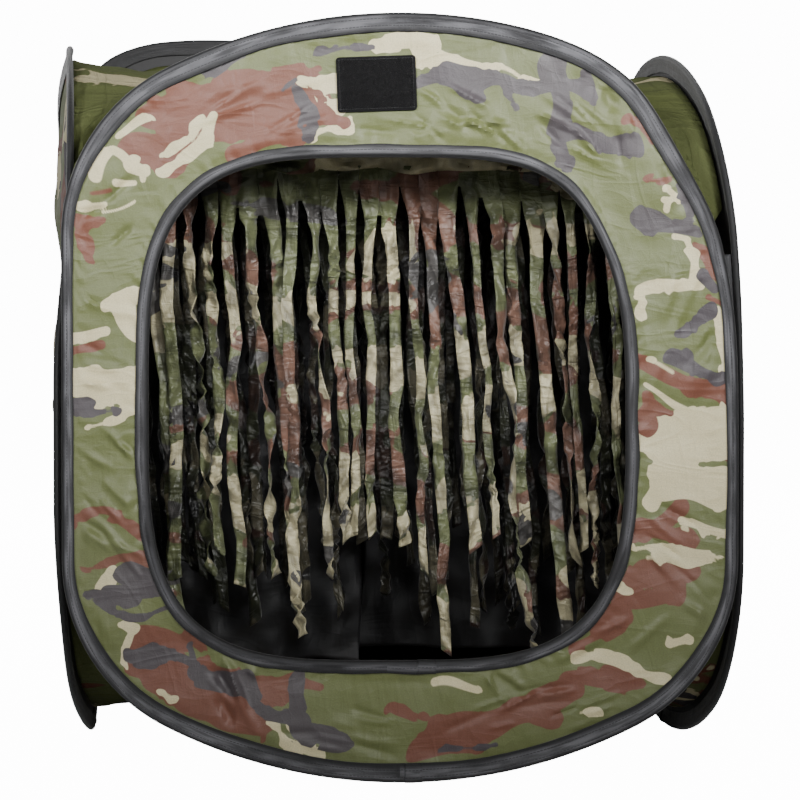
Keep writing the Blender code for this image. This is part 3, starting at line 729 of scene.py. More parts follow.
def build_print_group():
    """Colours of the print from the depth inside each ink, whose edges it makes wavy."""
    cloths = bpy.context.scene.blind_cloths
    tree, given, result = begin_group(
        "Woodland print", {"Position": "vector", "Brown": "float", "Cream": "float",
                           "Rust": "float", "Charcoal": "float"}, {"Color": "colour"})
    fine = calc(tree, "SUBTRACT", noise(tree, given["Position"], 52.0, 1.0, 0.6), 0.5)
    broad = calc(tree, "SUBTRACT", noise(tree, given["Position"], 19.0, 0.5, 0.4), 0.5)
    leafy = ramp(tree, noise(tree, given["Position"], 15.0, 0.0), 0.38, 0.60, 0.009, 0.022)
    wander = calc(tree, "ADD", calc(tree, "MULTIPLY", fine, leafy),
                  calc(tree, "MULTIPLY", broad, 0.020))
    wander = calc(tree, "MINIMUM", calc(tree, "MAXIMUM", wander, -0.0012), 0.0030)
    colour_now = cloths.green
    for ink, tint in (("Brown", cloths.brown), ("Cream", cloths.cream),
                      ("Rust", cloths.brown), ("Charcoal", cloths.charcoal)):
        depth = calc(tree, "ADD", given[ink], wander)
        colour_now = mix(tree, ramp(tree, depth, -0.0002, 0.0003), colour_now, tint)
    patchy = noise(tree, given["Position"], 9.0, 3.0)
    fade = ramp(tree, patchy, 0.3, 0.7, 0.0, 0.08)
    faded = mix(tree, fade, colour_now, FADED)
    speck = ramp(tree, noise(tree, given["Position"], 900.0, 1.0), 0.35, 0.65, 0.9, 1.06)
    tree.links.new(shaded(tree, faded, speck), result["Color"])


def build_patch_group():
    """Depth inside each ink of a print that goes on without end."""
    tree, given, result = begin_group(
        "Woodland patches", {"Position": "vector", "Size": "float"},
        {"Brown": "float", "Cream": "float", "Charcoal": "float"})
    scale = calc(tree, "DIVIDE", 1.0, given["Size"])
    patches = (("Brown", 0.55, 0.52, 0.5), ("Cream", 0.45, 0.585, 0.8),
               ("Charcoal", 0.6, 0.575, 0.8))
    for index, (ink, across, level, detail) in enumerate(patches):
        place = shifted(tree, stretched(tree, given["Position"], across, 1.0, 1.0),
                        (index * 3.7, index * 1.9, index * 5.3))
        value = noise(tree, place, scale, detail, 0.5)
        depth = calc(tree, "MULTIPLY", calc(tree, "SUBTRACT", value, level), given["Size"])
        tree.links.new(depth, result[ink])


def build_weave_group():
    """Height of plain woven threads, with a slub here and there."""
    tree, given, result = begin_group(
        "Weave", {"Position": "vector", "Pitch": "float"}, {"Height": "float"})
    parts = split(tree, given["Position"])
    turn = calc(tree, "DIVIDE", pi, given["Pitch"])
    warp = calc(tree, "SINE", calc(tree, "MULTIPLY", parts[0], turn))
    weft = calc(tree, "SINE", calc(tree, "MULTIPLY", parts[1], turn))
    over = calc(tree, "MULTIPLY", warp, weft)
    slub = noise(tree, stretched(tree, given["Position"], 1.0, 8.0, 1.0), 160.0, 1.0)
    height = calc(tree, "MULTIPLY", calc(tree, "ADD", over, slub), given["Pitch"])
    tree.links.new(calc(tree, "MULTIPLY", height, 0.05), result["Height"])


def build_crinkle_group():
    """Height of fine sharp creases in thin coated cloth."""
    tree, given, result = begin_group(
        "Crinkle", {"Position": "vector", "Size": "float", "Depth": "float"},
        {"Height": "float"})
    scale = calc(tree, "DIVIDE", 1.0, given["Size"])
    total = None
    for offset, stretch in ((0.0, (0.5, 1.4, 1.0)), (7.3, (1.2, 0.45, 1.0))):
        place = shifted(tree, stretched(tree, given["Position"], *stretch),
                        (offset, offset, 0))
        fold = offset_from(tree, noise(tree, place, scale, 2.0, 1.2), 0.5)
        ridge = ramp(tree, fold, 0.0, 0.09, 1.0, 0.0)
        total = ridge if total is None else calc(tree, "ADD", total, ridge)
    tree.links.new(calc(tree, "MULTIPLY", total, given["Depth"]), result["Height"])


def build_stitch_group():
    """Rows of stitches along a tape: how far a point is covered by thread."""
    tree, given, result = begin_group(
        "Stitches", {"Position": "vector", "Line": "float", "Pitch": "float"},
        {"Thread": "float"})
    parts = split(tree, given["Position"])
    aside = offset_from(tree, parts[1], given["Line"])
    in_line = ramp(tree, aside, 0.00025, 0.00045, 1.0, 0.0)
    step = calc(tree, "FRACT", calc(tree, "DIVIDE", parts[0], given["Pitch"]))
    middle = offset_from(tree, step, 0.5)
    tree.links.new(calc(tree, "MULTIPLY", in_line, ramp(tree, middle, 0.34, 0.40, 1.0, 0.0)),
                   result["Thread"])


def begin_material(name, roughness, **uniform):
    """A new material: its node tree and the inputs of its shader."""
    made = bpy.data.materials.new(name)
    made.use_nodes = True
    inputs = made.node_tree.nodes["Principled BSDF"].inputs
    inputs["Roughness"].default_value = roughness
    for title, value in uniform.items():
        inputs[title.replace("_", " ")].default_value = value
    return made.node_tree, inputs


def laid_flat(tree):
    """Where a point lies on its piece's flat cloth."""
    return add(tree, "ShaderNodeUVMap", uv_map="Flat").outputs[0]


def lay_bump(tree, inputs, heights):
    """Feed the sum of several heights, in metres, to the shader's normal."""
    total = heights[0]
    for height in heights[1:]:
        total = calc(tree, "ADD", total, height)
    bump = add(tree, "ShaderNodeBump", {"Height": total, "Distance": 1.0, "Strength": 1.0})
    tree.links.new(bump.outputs[0], inputs["Normal"])


def woodland_material(name, roughness, patch_size, from_fields=False, crinkle=0.00012,
                      shade=1.0, paler_and_fold_shaded=False, **uniform):
    """Printed cloth, from a piece's own ink fields or from the endless print. A shade below one
    makes a darker copy of it, painted shade for cloth that lies in shadow; the strip cloth also
    gets painted light and shade of its folds.
    """
    cloths = bpy.context.scene.blind_cloths
    tree, inputs = begin_material(name, roughness, **uniform)
    flat = laid_flat(tree)
    if from_fields:
        inks = {ink: field_value(tree, ink) for ink in INKS}
    else:
        found = use(tree, "Woodland patches", Position=flat, Size=patch_size)
        plain = field_value(tree, "Plain")
        inks = {ink: calc(tree, "SUBTRACT", found[ink], calc(tree, "MULTIPLY", plain, bare))
                for ink, bare in (("Brown", 0.03), ("Cream", 0.004), ("Charcoal", 0.03))}
        if paler_and_fold_shaded:
            for ink, more in (("Cream", 0.0015), ("Charcoal", -0.0060), ("Brown", -0.001)):
                inks[ink] = calc(tree, "ADD", inks[ink], more)
        inks["Rust"] = -1.0
    colour_now = use(tree, "Woodland print", Position=flat, **inks)["Color"]
    if paler_and_fold_shaded:
        dusty = mix(tree, 0.22, colour_now, STRIP_DUST)
        # Painted light and shade of twisted folds: the colour darkened and lightened in patches
        # along the strips.
        folded = ramp(tree, noise(tree, flat, 38.0, 2.0), 0.36, 0.60, 0.42, 1.12)
        colour_now = shaded(tree, dusty, folded)
    # Painted shade: a darker copy of the same print for cloth that lies in shadow.
    if shade != 1.0:
        colour_now = mix(tree, 1.0, colour_now, (shade, shade, shade), "MULTIPLY")
    tree.links.new(colour_now, inputs["Base Color"])
    sheen = noise(tree, flat, 60.0, 2.0)
    tree.links.new(ramp(tree, sheen, 0.3, 0.7, roughness - 0.07, roughness + 0.07),
                   inputs["Roughness"])
    lay_bump(tree, inputs, [
        use(tree, "Weave", Position=flat, Pitch=cloths.weave)[0],
        use(tree, "Crinkle", Position=flat, Size=0.055, Depth=crinkle)[0],
        use(tree, "Crinkle", Position=flat, Size=0.018, Depth=crinkle / 4)[0]])


def plain_cloth_material(name, tint, roughness, crinkle=0.00012, speck=0.0, **uniform):
    """Dark woven cloth of one colour, a little uneven and dusty, speckled if speck is set."""
    cloths = bpy.context.scene.blind_cloths
    tree, inputs = begin_material(name, roughness, **uniform)
    flat = laid_flat(tree)
    dust = ramp(tree, noise(tree, flat, 22.0, 4.0, 0.4), 0.42, 0.75, 0.0, 0.10)
    if speck:
        place = add(tree, "ShaderNodeTexCoord").outputs["Object"]
        spots = ramp(tree, noise(tree, place, speck, 1.0), 0.56, 0.66, 0.0, 0.30)
        dust = calc(tree, "MAXIMUM", dust, spots)
    tree.links.new(mix(tree, dust, tint, CLOTH_DUST), inputs["Base Color"])
    tree.links.new(ramp(tree, dust, 0, 0.1, roughness - 0.06, roughness + 0.08),
                   inputs["Roughness"])
    lay_bump(tree, inputs, [
        use(tree, "Weave", Position=flat, Pitch=cloths.weave)[0],
        use(tree, "Crinkle", Position=flat, Size=0.045, Depth=crinkle)[0]])


def tape_material(name, shade, dust_and_highlight):
    """Ribbed binding tape with two rows of stitches, a painted highlight along its middle and
    painted shade along its edges and its inner half.

    Its UV map runs along the tape and across it from the middle of the fold; Lip is how
    far a point lies from the tape's own edge.
    """
    cloths = bpy.context.scene.blind_cloths
    # A shade below one makes a darker copy of the tape: painted shade.
    tint = [shade * value for value in cloths.tape]
    tree, inputs = begin_material(name, 0.60, Sheen_Weight=0.2)
    flat = laid_flat(tree)
    lip = field_value(tree, "Lip")
    parts = split(tree, flat)
    across = calc(tree, "ABSOLUTE", parts[1])
    mirrored = add(tree, "ShaderNodeCombineXYZ", {0: parts[0], 1: across}).outputs[0]
    uneven = ramp(tree, noise(tree, flat, 30.0, 3.0), 0.3, 0.7, 0.0, 0.3)
    cloth = mix(tree, calc(tree, "MULTIPLY", uneven, dust_and_highlight), tint, TAPE_DUST)
    # Painted highlight along the ridge over the wire, broken up by noise; the same share also
    # sets how much dust is mixed in.
    ridge = calc(tree, "MULTIPLY", ramp(tree, across, 0.0032, 0.0060),
                 ramp(tree, lip, 0.0024, 0.0056))
    painted_highlight = calc(tree, "MULTIPLY", ridge, ramp(tree, noise(
        tree, stretched(tree, flat, 0.35, 1.0, 1.0), 60.0, 3.0), 0.34, 0.58, 0.15, 1.0))
    cloth = mix(tree, calc(tree, "MULTIPLY", painted_highlight, 0.85 * dust_and_highlight), cloth, TAPE_HIGHLIGHT)
    streaks_and_shade = ramp(tree, noise(tree, stretched(tree, flat, 0.10, 1.0, 1.0), 240.0, 2.0),
                  0.46, 0.60, 0.0, 0.55)
    # Painted shade over the tape's inner half, towards its lip, where the wire's bulge keeps the
    # light off.
    painted_inner_shade = calc(tree, "MULTIPLY", ramp(tree, lip, 0.0040, 0.0085, 0.8, 0.0),
                     ramp(tree, noise(tree, stretched(tree, flat, 1.0, 0.0, 0.0), 4.0, 1.0),
                          0.42, 0.58))
    # From here this mask holds both the random dark lines and the painted shade.
    streaks_and_shade = calc(tree, "MAXIMUM", streaks_and_shade, painted_inner_shade)
    # Painted shade: dark lines along the fold and along the mouth of the tape.
    edges = calc(tree, "MAXIMUM", ramp(tree, across, 0.0028, 0.0040, 0.95, 0.0),
                 ramp(tree, lip, 0.0018, 0.0030, 0.95, 0.0))
    cloth = mix(tree, calc(tree, "MAXIMUM", edges, streaks_and_shade), cloth, TAPE_SHADE_AND_STREAKS)
    threads = [use(tree, "Stitches", Position=mirrored, Line=line, Pitch=STITCH_PITCH)[0]
               for line in STITCH_LINES]
    thread = calc(tree, "MAXIMUM", *threads)
    tree.links.new(mix(tree, calc(tree, "MULTIPLY", thread, 0.85), cloth, TAPE_THREAD),
                   inputs["Base Color"])
    ribs = calc(tree, "SINE", calc(tree, "MULTIPLY", parts[0], 2 * pi / RIB_PITCH))
    sunk = ramp(tree, offset_from(tree, across, STITCH_LINES[0]), 0.0, 0.0016, -0.00022, 0.0)
    lay_bump(tree, inputs, [
        calc(tree, "MULTIPLY", ribs, 0.00004), calc(tree, "MULTIPLY", thread, 0.00015), sunk,
        use(tree, "Crinkle", Position=flat, Size=0.014, Depth=0.00008)[0]])


def metal_material(name, tint, roughness, scratch_scale):
    """Bare drawn wire or a crimped sleeve, a little stained."""
    tree, inputs = begin_material(name, roughness, Metallic=1.0)
    place = add(tree, "ShaderNodeTexCoord").outputs["Object"]
    stain = ramp(tree, noise(tree, place, 90.0, 4.0), 0.45, 0.7, 0.0, 0.6)
    tree.links.new(mix(tree, stain, tint, METAL_STAIN), inputs["Base Color"])
    tree.links.new(ramp(tree, stain, 0, 0.6, roughness, roughness + 0.25), inputs["Roughness"])
    scratch = noise(tree, place, scratch_scale, 1.0)
    lay_bump(tree, inputs, [calc(tree, "MULTIPLY", scratch, 0.00002)])


def build_materials():
    """The shared node groups and every material."""
    cloths = bpy.context.scene.blind_cloths
    for build in (build_print_group, build_patch_group, build_weave_group,
                  build_crinkle_group, build_stitch_group):
        build()
    woodland_material("woodland_front", 0.46, 0.05, from_fields=True, crinkle=0.00030,
                      Specular_IOR_Level=0.60)
    # The walls and the roof are darker copies of the front's print: painted shade where they lie
    # in shadow.
    woodland_material("woodland_wall_painted_shade", 0.72, 0.07, crinkle=0.0003, shade=0.55,
                      Specular_IOR_Level=0.15)
    woodland_material("woodland_roof_painted_shade", 0.80, 0.07, crinkle=0.0009, shade=0.54,
                      Specular_IOR_Level=0.12)
    # The strip rows and the headers are darker copies too, painted shade, with the middle and
    # rear rows deepest inside the blind.
    for name, shade in (("woodland_strip", 0.84), ("woodland_strip_middle_painted_shade", 0.13),
                        ("woodland_strip_rear_painted_shade", 0.07)):
        woodland_material(name, 0.36, 0.062, crinkle=0.0012, shade=shade, paler_and_fold_shaded=True,
                          Sheen_Weight=0.15)
    woodland_material("woodland_header", 0.40, 0.085, crinkle=0.0006, shade=0.95, paler_and_fold_shaded=True)
    plain_cloth_material("dark_reverse", cloths.reverse, 0.60)
    plain_cloth_material("black_backing", cloths.backing, 0.55, crinkle=0.0002)
    plain_cloth_material("pile_ground", cloths.pile, 0.85, Specular_IOR_Level=0.2)
    plain_cloth_material("pile_thread", cloths.pile, 0.50, speck=700.0,
                         Specular_IOR_Level=0.3)
    plain_cloth_material("dark_tape", (0.030, 0.030, 0.033), 0.65)
    plain_cloth_material("sewing_thread", (0.022, 0.022, 0.025), 0.45)
    tape_material("front_hoop_tape", 1.0, 1.0)
    # The side and rear hoops' tape is a darker copy of the same tape: painted shade.
    tape_material("side_hoop_tape_painted_shade", 0.22, 0.12)
    metal_material("drawn_wire", (0.50, 0.51, 0.53), 0.30, 400.0)
    metal_material("crimped_sleeve", (0.60, 0.60, 0.62), 0.35, 700.0)


def material(name):
    """One of the materials, built first if need be."""
    if name not in bpy.data.materials:
        build_materials()
    return bpy.data.materials[name]


# ---- Walls ---------------------------------------------------------------------------

def front_cloth(front, hole):
    """Printed ring of cloth between the front hoop and the opening."""
    hoops = bpy.context.scene.blind_hoops
    inks = {}

    def plan(u, v):
        outer, inner = front.loop.at(u, CLOTH_INSET), hole.at(u, -CLOTH_INSET)
        return outer * (1 - v)[:, None] + inner * v[:, None]

    def shape(u, v):
        across, up = plan(u, v).T
        ring = np.hypot(*(hole.at(u, -CLOTH_INSET) - front.loop.at(u, CLOTH_INSET)).T)
        from_hoop, from_hole = CLOTH_INSET + v * ring, CLOTH_INSET + (1 - v) * ring
        free = (smooth(hoops.binding - 0.001, hoops.binding + 0.010, from_hoop)
                * smooth(hoops.opening_binding - 0.001, hoops.opening_binding + 0.009, from_hole))
        patch_gap = np.maximum(
            abs(across + FRONT_MIDDLE.x - PATCH_MIDDLE.x) - PATCH_HALF_WIDTH,
            abs(up - PATCH_MIDDLE.z) - PATCH_HALF_HEIGHT)
        free = free * (0.25 + 0.75 * smooth(0.0, 0.012, patch_gap))
        stands = front.place(across, 0.0, up)
        from_middle, height = stands[..., 0] - FRONT_MIDDLE.x, stands[..., 2]
        bent = [base + swells(seed, INK_WAVES, across, up)
                for seed, base in ((15, from_middle), (16, height))]
        for ink, strokes in INKS.items():
            inks[ink] = stroke_field(strokes, *bent)
        swell = CREASE_GAIN * crease_height(11, FRONT_CREASES, from_middle, height)
        swell += swells(12, FRONT_WAVES, across, up)
        edge = np.minimum(from_hoop - hoops.binding, from_hole - hoops.opening_binding)
        pucker = ripples(14, 0.014, u * front.loop.length, from_hoop * 0.4)
        pucker = 0.00042 * pucker * np.exp(-np.maximum(edge, 0) / 0.009) * smooth(-0.003, 0, edge)
        pucker = pucker * smooth(0.0, 0.006, np.minimum(u, 1 - u))
        return front.place(across, -swell * free - pucker, up)

    mesh = grid_mesh("front_cloth", 880, 54, shape, None, plan=plan)
    keep_fields(mesh, inks)
    merge(mesh)
    cloth = make_piece(mesh, material("woodland_front"), material("dark_reverse"),
                       thickness=CLOTH)
    front.loop.area(CLOTH_INSET) - hole.area(-CLOTH_INSET)
    return cloth


def round_the_square(u, v):
    """How far out a point of a square lies, and its share of the way round from the bottom."""
    x, z = 2 * u - 1, 2 * v - 1
    far = np.maximum(abs(x), abs(z))
    safe = np.maximum(far, 1e-9)
    sides = [z <= -far, x >= far, z >= far]
    part = np.select(sides, [x / safe / 8, 1 / 4 + z / safe / 8, 1 / 2 - x / safe / 8],
                     3 / 4 - z / safe / 8)
    return far, part


def wall_cloth(wall, seed):
    """Whole sheet of printed cloth stretched over a hoop."""
    hoops = bpy.context.scene.blind_hoops
    height = wall.loop.points[:, 1].max()
    draw = np.random.default_rng(seed)
    groups = [(x * 190, height * 500 + z * 230, 60, 60, angle, 110, 7, 1.5, 5.0)
              for x, z, angle in ((-1, -1, 40), (1, -1, -40), (-1, 1, -42), (1, 1, 42))]
    groups += [(draw.uniform(-180, 180), draw.uniform(120, 560), 60, 60,
                draw.uniform(-90, 90), 120, 4, 1.2, 6.0) for _ in range(7)]

    def from_centre(u, v):
        far, part = round_the_square(u, v)
        return far, wall.loop.at(part, CLOTH_INSET) - (0, height / 2)

    def plan(u, v):
        far, edge = from_centre(u, v)
        return (0, height / 2) + edge * far[:, None]

    def shape(u, v):
        far, edge = from_centre(u, v)
        across, up = plan(u, v).T
        reach = np.hypot(edge[:, 0], edge[:, 1])
        free = smooth(hoops.binding - CLOTH_INSET, 0.035, (1 - far) * reach)
        swell = hoops.bulge * (1 - far ** 2) + crease_height(seed + 1, groups, across, up)
        swell += swells(seed + 2, WALL_WAVES, across, up)
        return wall.place(across, -swell * free, up)

    mesh = grid_mesh(wall.name + "_cloth", 150, 150, shape, None, plan=plan)
    cloth = make_piece(mesh, material("woodland_wall_painted_shade"), material("dark_reverse"),
                       thickness=CLOTH)
    wall.loop.area(CLOTH_INSET)
    return cloth


class BLIND_OT_walls(bpy.types.Operator):
    """Printed cloth of the four walls"""

    bl_idname = "blind.walls"
    bl_label = "Wall cloths"

    def execute(self, context):
        walls = make_walls()
        cloth = front_cloth(walls["front"], opening_loop(context.scene.blind_hoops))
        finish_piece(cloth, "front", "camo_cloth", "front_panel")
        for seed, name in ((30, "left"), (50, "right"), (70, "rear")):
            cloth = wall_cloth(walls[name], seed)
            finish_piece(cloth, walls[name].body, "camo_cloth", name + "_panel")
        return {"FINISHED"}


def finish_piece(thing, body, slot, *nodes):
    """Give a piece its body and hide the CAD nodes that it stands for. Its slot is not used."""
    if body:
        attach(thing, body)
    if nodes:
        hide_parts(*nodes)
    return thing


# ---- Bindings, wires and ferrules ----------------------------------------------------

def tape_section(width, v):
    """Depth in from the edge, and inward, of a folded tape, v running round the fold."""
    lip = np.abs(2 * v - 1)
    depth = np.interp(lip, FOLD_SHARES, FOLD_DEPTHS)
    flat_part = np.clip((lip - FOLD_SHARES[-1]) / (1 - FOLD_SHARES[-1]), 0, 1)
    depth = depth + (width - FOLD_DEPTHS[-1]) * flat_part
    return depth, np.interp(lip, LIP_SHARES, LIP_BULGES) * np.sign(2 * v - 1)


def binding(wall, loop, width, side, seed, name, part=(0.0, 1.0), lift=0.0, join=0.0):
    """Folded tape round an edge: side is 1 round a sheet and -1 round a hole in it."""
    hoops = bpy.context.scene.blind_hoops
    middle = loop.points[:, 1].mean()
    lips = {}
    run = (part[1] - part[0]) * loop.length
    girth = 2 * (width + POCKET)

    def shape(u, v):
        along = part[0] + (part[1] - part[0]) * u
        from_fold = np.abs(2 * v - 1)
        level = np.abs(loop.at(along)[:, 1] - middle)
        narrow = hoops.narrowing * (1 - smooth(0.10, 0.30, level)) * (side > 0)
        depth, inward = tape_section(width * (1 - narrow), v if side < 0 else 1 - v)
        lips["Lip"] = (1 - from_fold) * (width + POCKET)
        metres = along % 1.0 * loop.length
        from_seam = np.minimum((along - join) % 1.0, (join - along) % 1.0) * loop.length
        seam = 1 - smooth(0.0, 0.02, np.minimum(from_seam, metres))
        raised = lift * (1 - 0.85 * smooth(0.3, 1.0, u))
        free = smooth(0.25, 0.9, from_fold) * (1 - seam)
        angle = 2 * pi * along
        wobble = ripples(seed, 0.5, 2.2 * np.cos(angle), 2.2 * np.sin(angle))
        pucker = 0.00022 * ripples(seed + 1, 0.012, metres, depth) * free
        pucker = pucker + 0.0002 * ripples(seed + 2, 0.05, metres) * free
        outward = np.where(inward > 0, 1, -1)
        depth = depth + 0.0004 * wobble * from_fold - raised * (1 - from_fold)
        across, up = loop.at(along, side * depth).T
        return wall.place(across, inward + outward * (np.abs(pucker) + raised), up)

    def plan(u, v):
        return np.column_stack((u * run, (v - 0.5) * girth))

    columns = max(8, round(run / TAPE_STEP))
    mesh = grid_mesh(name, columns, 34, shape, None, plan=plan)
    keep_fields(mesh, lips)
    if part == (0.0, 1.0):
        merge(mesh)
    # Hoops other than the front one take the darker copy of the tape: painted shade.
    tape = "front_hoop_tape" if wall.name == "front" else "side_hoop_tape_painted_shade"
    return make_piece(mesh, material(tape), thickness=TAPE, sharp=60)


def rod(wall, loop, side, name, metal, part, radius, columns):
    """A rod along part of a hoop, closed at both ends; radius(u) varies along it."""

    def shape(u, v):
        along = part[0] + (part[1] - part[0]) * u
        angle = -2 * pi * v * side
        across, up = loop.at(along, side * (WIRE_INSET + radius(u) * np.cos(angle))).T
        return wall.place(across, radius(u) * np.sin(angle), up)

    run = (part[1] - part[0]) * loop.length
    mesh = grid_mesh(name, columns, 12, shape, (run, 2 * pi * WIRE_RADIUS), closed=True)
    bm = bmesh.new()
    bm.from_mesh(mesh)
    bmesh.ops.holes_fill(bm, edges=[e for e in bm.edges if e.is_boundary])
    bm.to_mesh(mesh)
    bm.free()
    return make_piece(mesh, material(metal))


def crimped(u):
    """Radius of a ferrule: squeezed in two places."""
    dents = np.exp(-((np.abs(u - 0.5) - 0.2) / 0.05) ** 2)
    return FERRULE_RADIUS - CRIMP_DEPTH * dents


class BLIND_OT_bindings(bpy.types.Operator):
    """Binding tapes, spring wires and ferrules round the walls and the opening"""

    bl_idname = "blind.bindings"
    bl_label = "Bindings and wires"

    def execute(self, context):
        hoops = context.scene.blind_hoops
        walls = make_walls()
        rims = [(walls[name], walls[name].loop, hoops.binding, 1, name) for name in walls]
        rims.append((walls["front"], opening_loop(hoops), hoops.opening_binding, -1, "opening"))
        for seed, (wall, loop, width, side, name) in enumerate(rims):
            join = (OPENING_JOIN if name == "opening" else JOIN) / loop.length
            lap_half = LAP_HALF / loop.length
            tape = binding(wall, loop, width, side, 100 + seed * 5, name + "_tape", join=join)
            lap = binding(wall, loop, width + LAP_LIFT, side, 103 + seed * 5,
                          name + "_tape_lap", (join, join + lap_half), lift=LAP_LIFT, join=join)
            finish_piece(tape, wall.body, "binding_tape", name + "_binding")
            finish_piece(lap, wall.body, "binding_tape")
            gap, half = WIRE_GAP / loop.length, FERRULE_LENGTH / 2 / loop.length
            wire = rod(wall, loop, side, name + "_wire", "drawn_wire", (gap, 1 - gap),
                       lambda u: WIRE_RADIUS, 360)
            sleeve = rod(wall, loop, side, name + "_sleeve", "crimped_sleeve", (-half, half),
                         crimped, 40)
            finish_piece(wire, wall.body, "spring_steel", name + "_hoop")
            finish_piece(sleeve, wall.body, "ferrule_metal", name + "_ferrule")
        return {"FINISHED"}


# ---- Roof and floor ------------------------------------------------------------------

def seam_line(wall, upper, towards_rear, count):
    """Points of a wall's seam with the roof or floor, evenly spaced."""
    depth = SEAM_INSETS[upper].get(wall.name, SEAM_INSET)
    hoops = bpy.context.scene.blind_hoops
    corner = hoops.height - CORNER_HEIGHT if upper else CORNER_HEIGHT
    part = np.linspace(0, 1, 1201)[:-1] + (0.0 if upper else 0.5)
    loop = wall.loop.at(part, depth)
    loop = loop[(loop[:, 1] > corner) == upper]
    if towards_rear != (loop[0, 0] < loop[-1, 0]):
        loop = loop[::-1]
    kept = np.vstack(((loop[0, 0], corner), loop, (loop[-1, 0], corner)))
    steps = np.concatenate(([0], np.cumsum(np.hypot(*np.diff(kept, axis=0).T))))
    even = np.linspace(0, steps[-1], count + 1)
    across, up = (np.interp(even, steps, kept[:, i]) for i in (0, 1))
    return wall.place(across, SEAM_STANDOFF, up)


def stretched_sheet(walls, upper, billow, count):
    """Grid of points pulled taut between the walls' seam lines, like a soap film."""
    front, left, right, rear = (
        seam_line(walls[name], upper, forwards, count) for name, forwards in
        (("front", True), ("left", False), ("right", True), ("rear", False)))
    part = np.linspace(0, 1, count + 1)[:, None, None]
    grid = left[:, None] * (1 - part.reshape(1, -1, 1)) + right[:, None] * part.reshape(1, -1, 1)
    grid[0], grid[-1] = front, rear
    middle = grid[[0, 0, -1, -1], [0, -1, 0, -1]].mean(axis=0)
    ends = {(0, 0): (front[0], left[0]), (0, -1): (front[-1], right[0]),
            (-1, 0): (rear[0], left[-1]), (-1, -1): (rear[-1], right[-1])}
    for place, (one, other) in ends.items():
        inward = (middle - (one + other) / 2) * (1, 1, 0)
        grid[place] = (one + other) / 2 + inward / np.linalg.norm(inward) * SEAM_SPREAD / 2
    pull = np.array([0, 0, (billow if upper else -billow) / (0.295 * count ** 2)])
    relax(grid, count ** 2 * 2, pull)
    return grid


def sheet_between(walls, name, upper, billow, seed):
    """Roof or floor cloth, with gusset wrinkles in its corners."""
    count, finer = 40, 3
    film = stretched_sheet(walls, upper, billow, count)
    fine = np.linspace(0, count, count * finer + 1)
    rows = np.stack([[np.interp(fine, np.arange(count + 1), film[r, :, i]) for i in range(3)]
                     for r in range(count + 1)])
    grid = np.stack([[np.interp(fine, np.arange(count + 1), rows[:, i, c]) for c in
                      range(len(fine))] for i in range(3)], axis=-1).swapaxes(0, 1)
    relax(grid, 12)
    run = np.cross(np.gradient(grid, axis=1), np.gradient(grid, axis=0))
    normal = run / np.linalg.norm(run, axis=-1)[..., None]
    s, t = np.meshgrid(np.linspace(-1, 1, len(fine)), np.linspace(-1, 1, len(fine)))
    in_corner = smooth(0.55, 0.95, np.abs(s)) * smooth(0.55, 0.95, np.abs(t))
    free = smooth(0, 0.05, 1 - np.abs(s)) * smooth(0, 0.05, 1 - np.abs(t))
    gusset = 0.0045 * ripples(seed, 0.12, np.abs(s) - np.abs(t), (s + t) * 0.1)
    gusset += 0.0040 * np.abs(ripples(seed + 3, 0.11, np.abs(s) - np.abs(t), (s + t) * 0.3))
    swell = in_corner * gusset + swells(seed + 1, ROOF_WAVES, s, t)
    grid = grid + normal * (swell * free)[..., None]
    sizes = [np.linalg.norm(np.diff(line, axis=0), axis=1).sum()
             for line in (grid[len(fine) // 2], grid[:, len(fine) // 2])]
    last = len(fine) - 1

    def shape(u, v):
        if not upper:
            u = 1 - u
        return grid[np.rint(v * last).astype(int), np.rint(u * last).astype(int)]

    mesh = grid_mesh(name, last, last, shape, sizes)
    plain = smooth(0.3, 0.7, np.abs(s)) if upper else in_corner
    keep_fields(mesh, {"Plain": plain.ravel()})
    cloth = make_piece(mesh, material("woodland_roof_painted_shade"), material(
        "dark_reverse" if upper else "woodland_roof_painted_shade"), thickness=CLOTH)
    return cloth


class BLIND_OT_roof(bpy.types.Operator):
    """Roof and floor cloths between the walls"""

    bl_idname = "blind.roof"
    bl_label = "Roof and floor"

    def execute(self, context):
        hoops = context.scene.blind_hoops
        walls = make_walls()
        for name, upper, billow, seed in (("roof", True, hoops.roof_billow, 200),
                                          ("floor", False, hoops.floor_billow, 210)):
            cloth = sheet_between(walls, name + "_cloth", upper, billow, seed)
            finish_piece(cloth, "front", "camo_cloth", name + "_panel")
            fold_flat(cloth)
        return {"FINISHED"}


# ---- Curtains ------------------------------------------------------------------------

def gathers(seed, x, rise):
    """How a header is puckered, in front of and behind its plane, by about a unit."""
    return (0.6 * ripples(seed + 1, 0.055, x, rise * 0.5) + 0.5 * ripples(
        seed + 2, 0.024, x, rise) + 0.5 * np.abs(ripples(seed + 3, 0.04, x * 0.7 + rise * 1.2,
                                                         rise)))


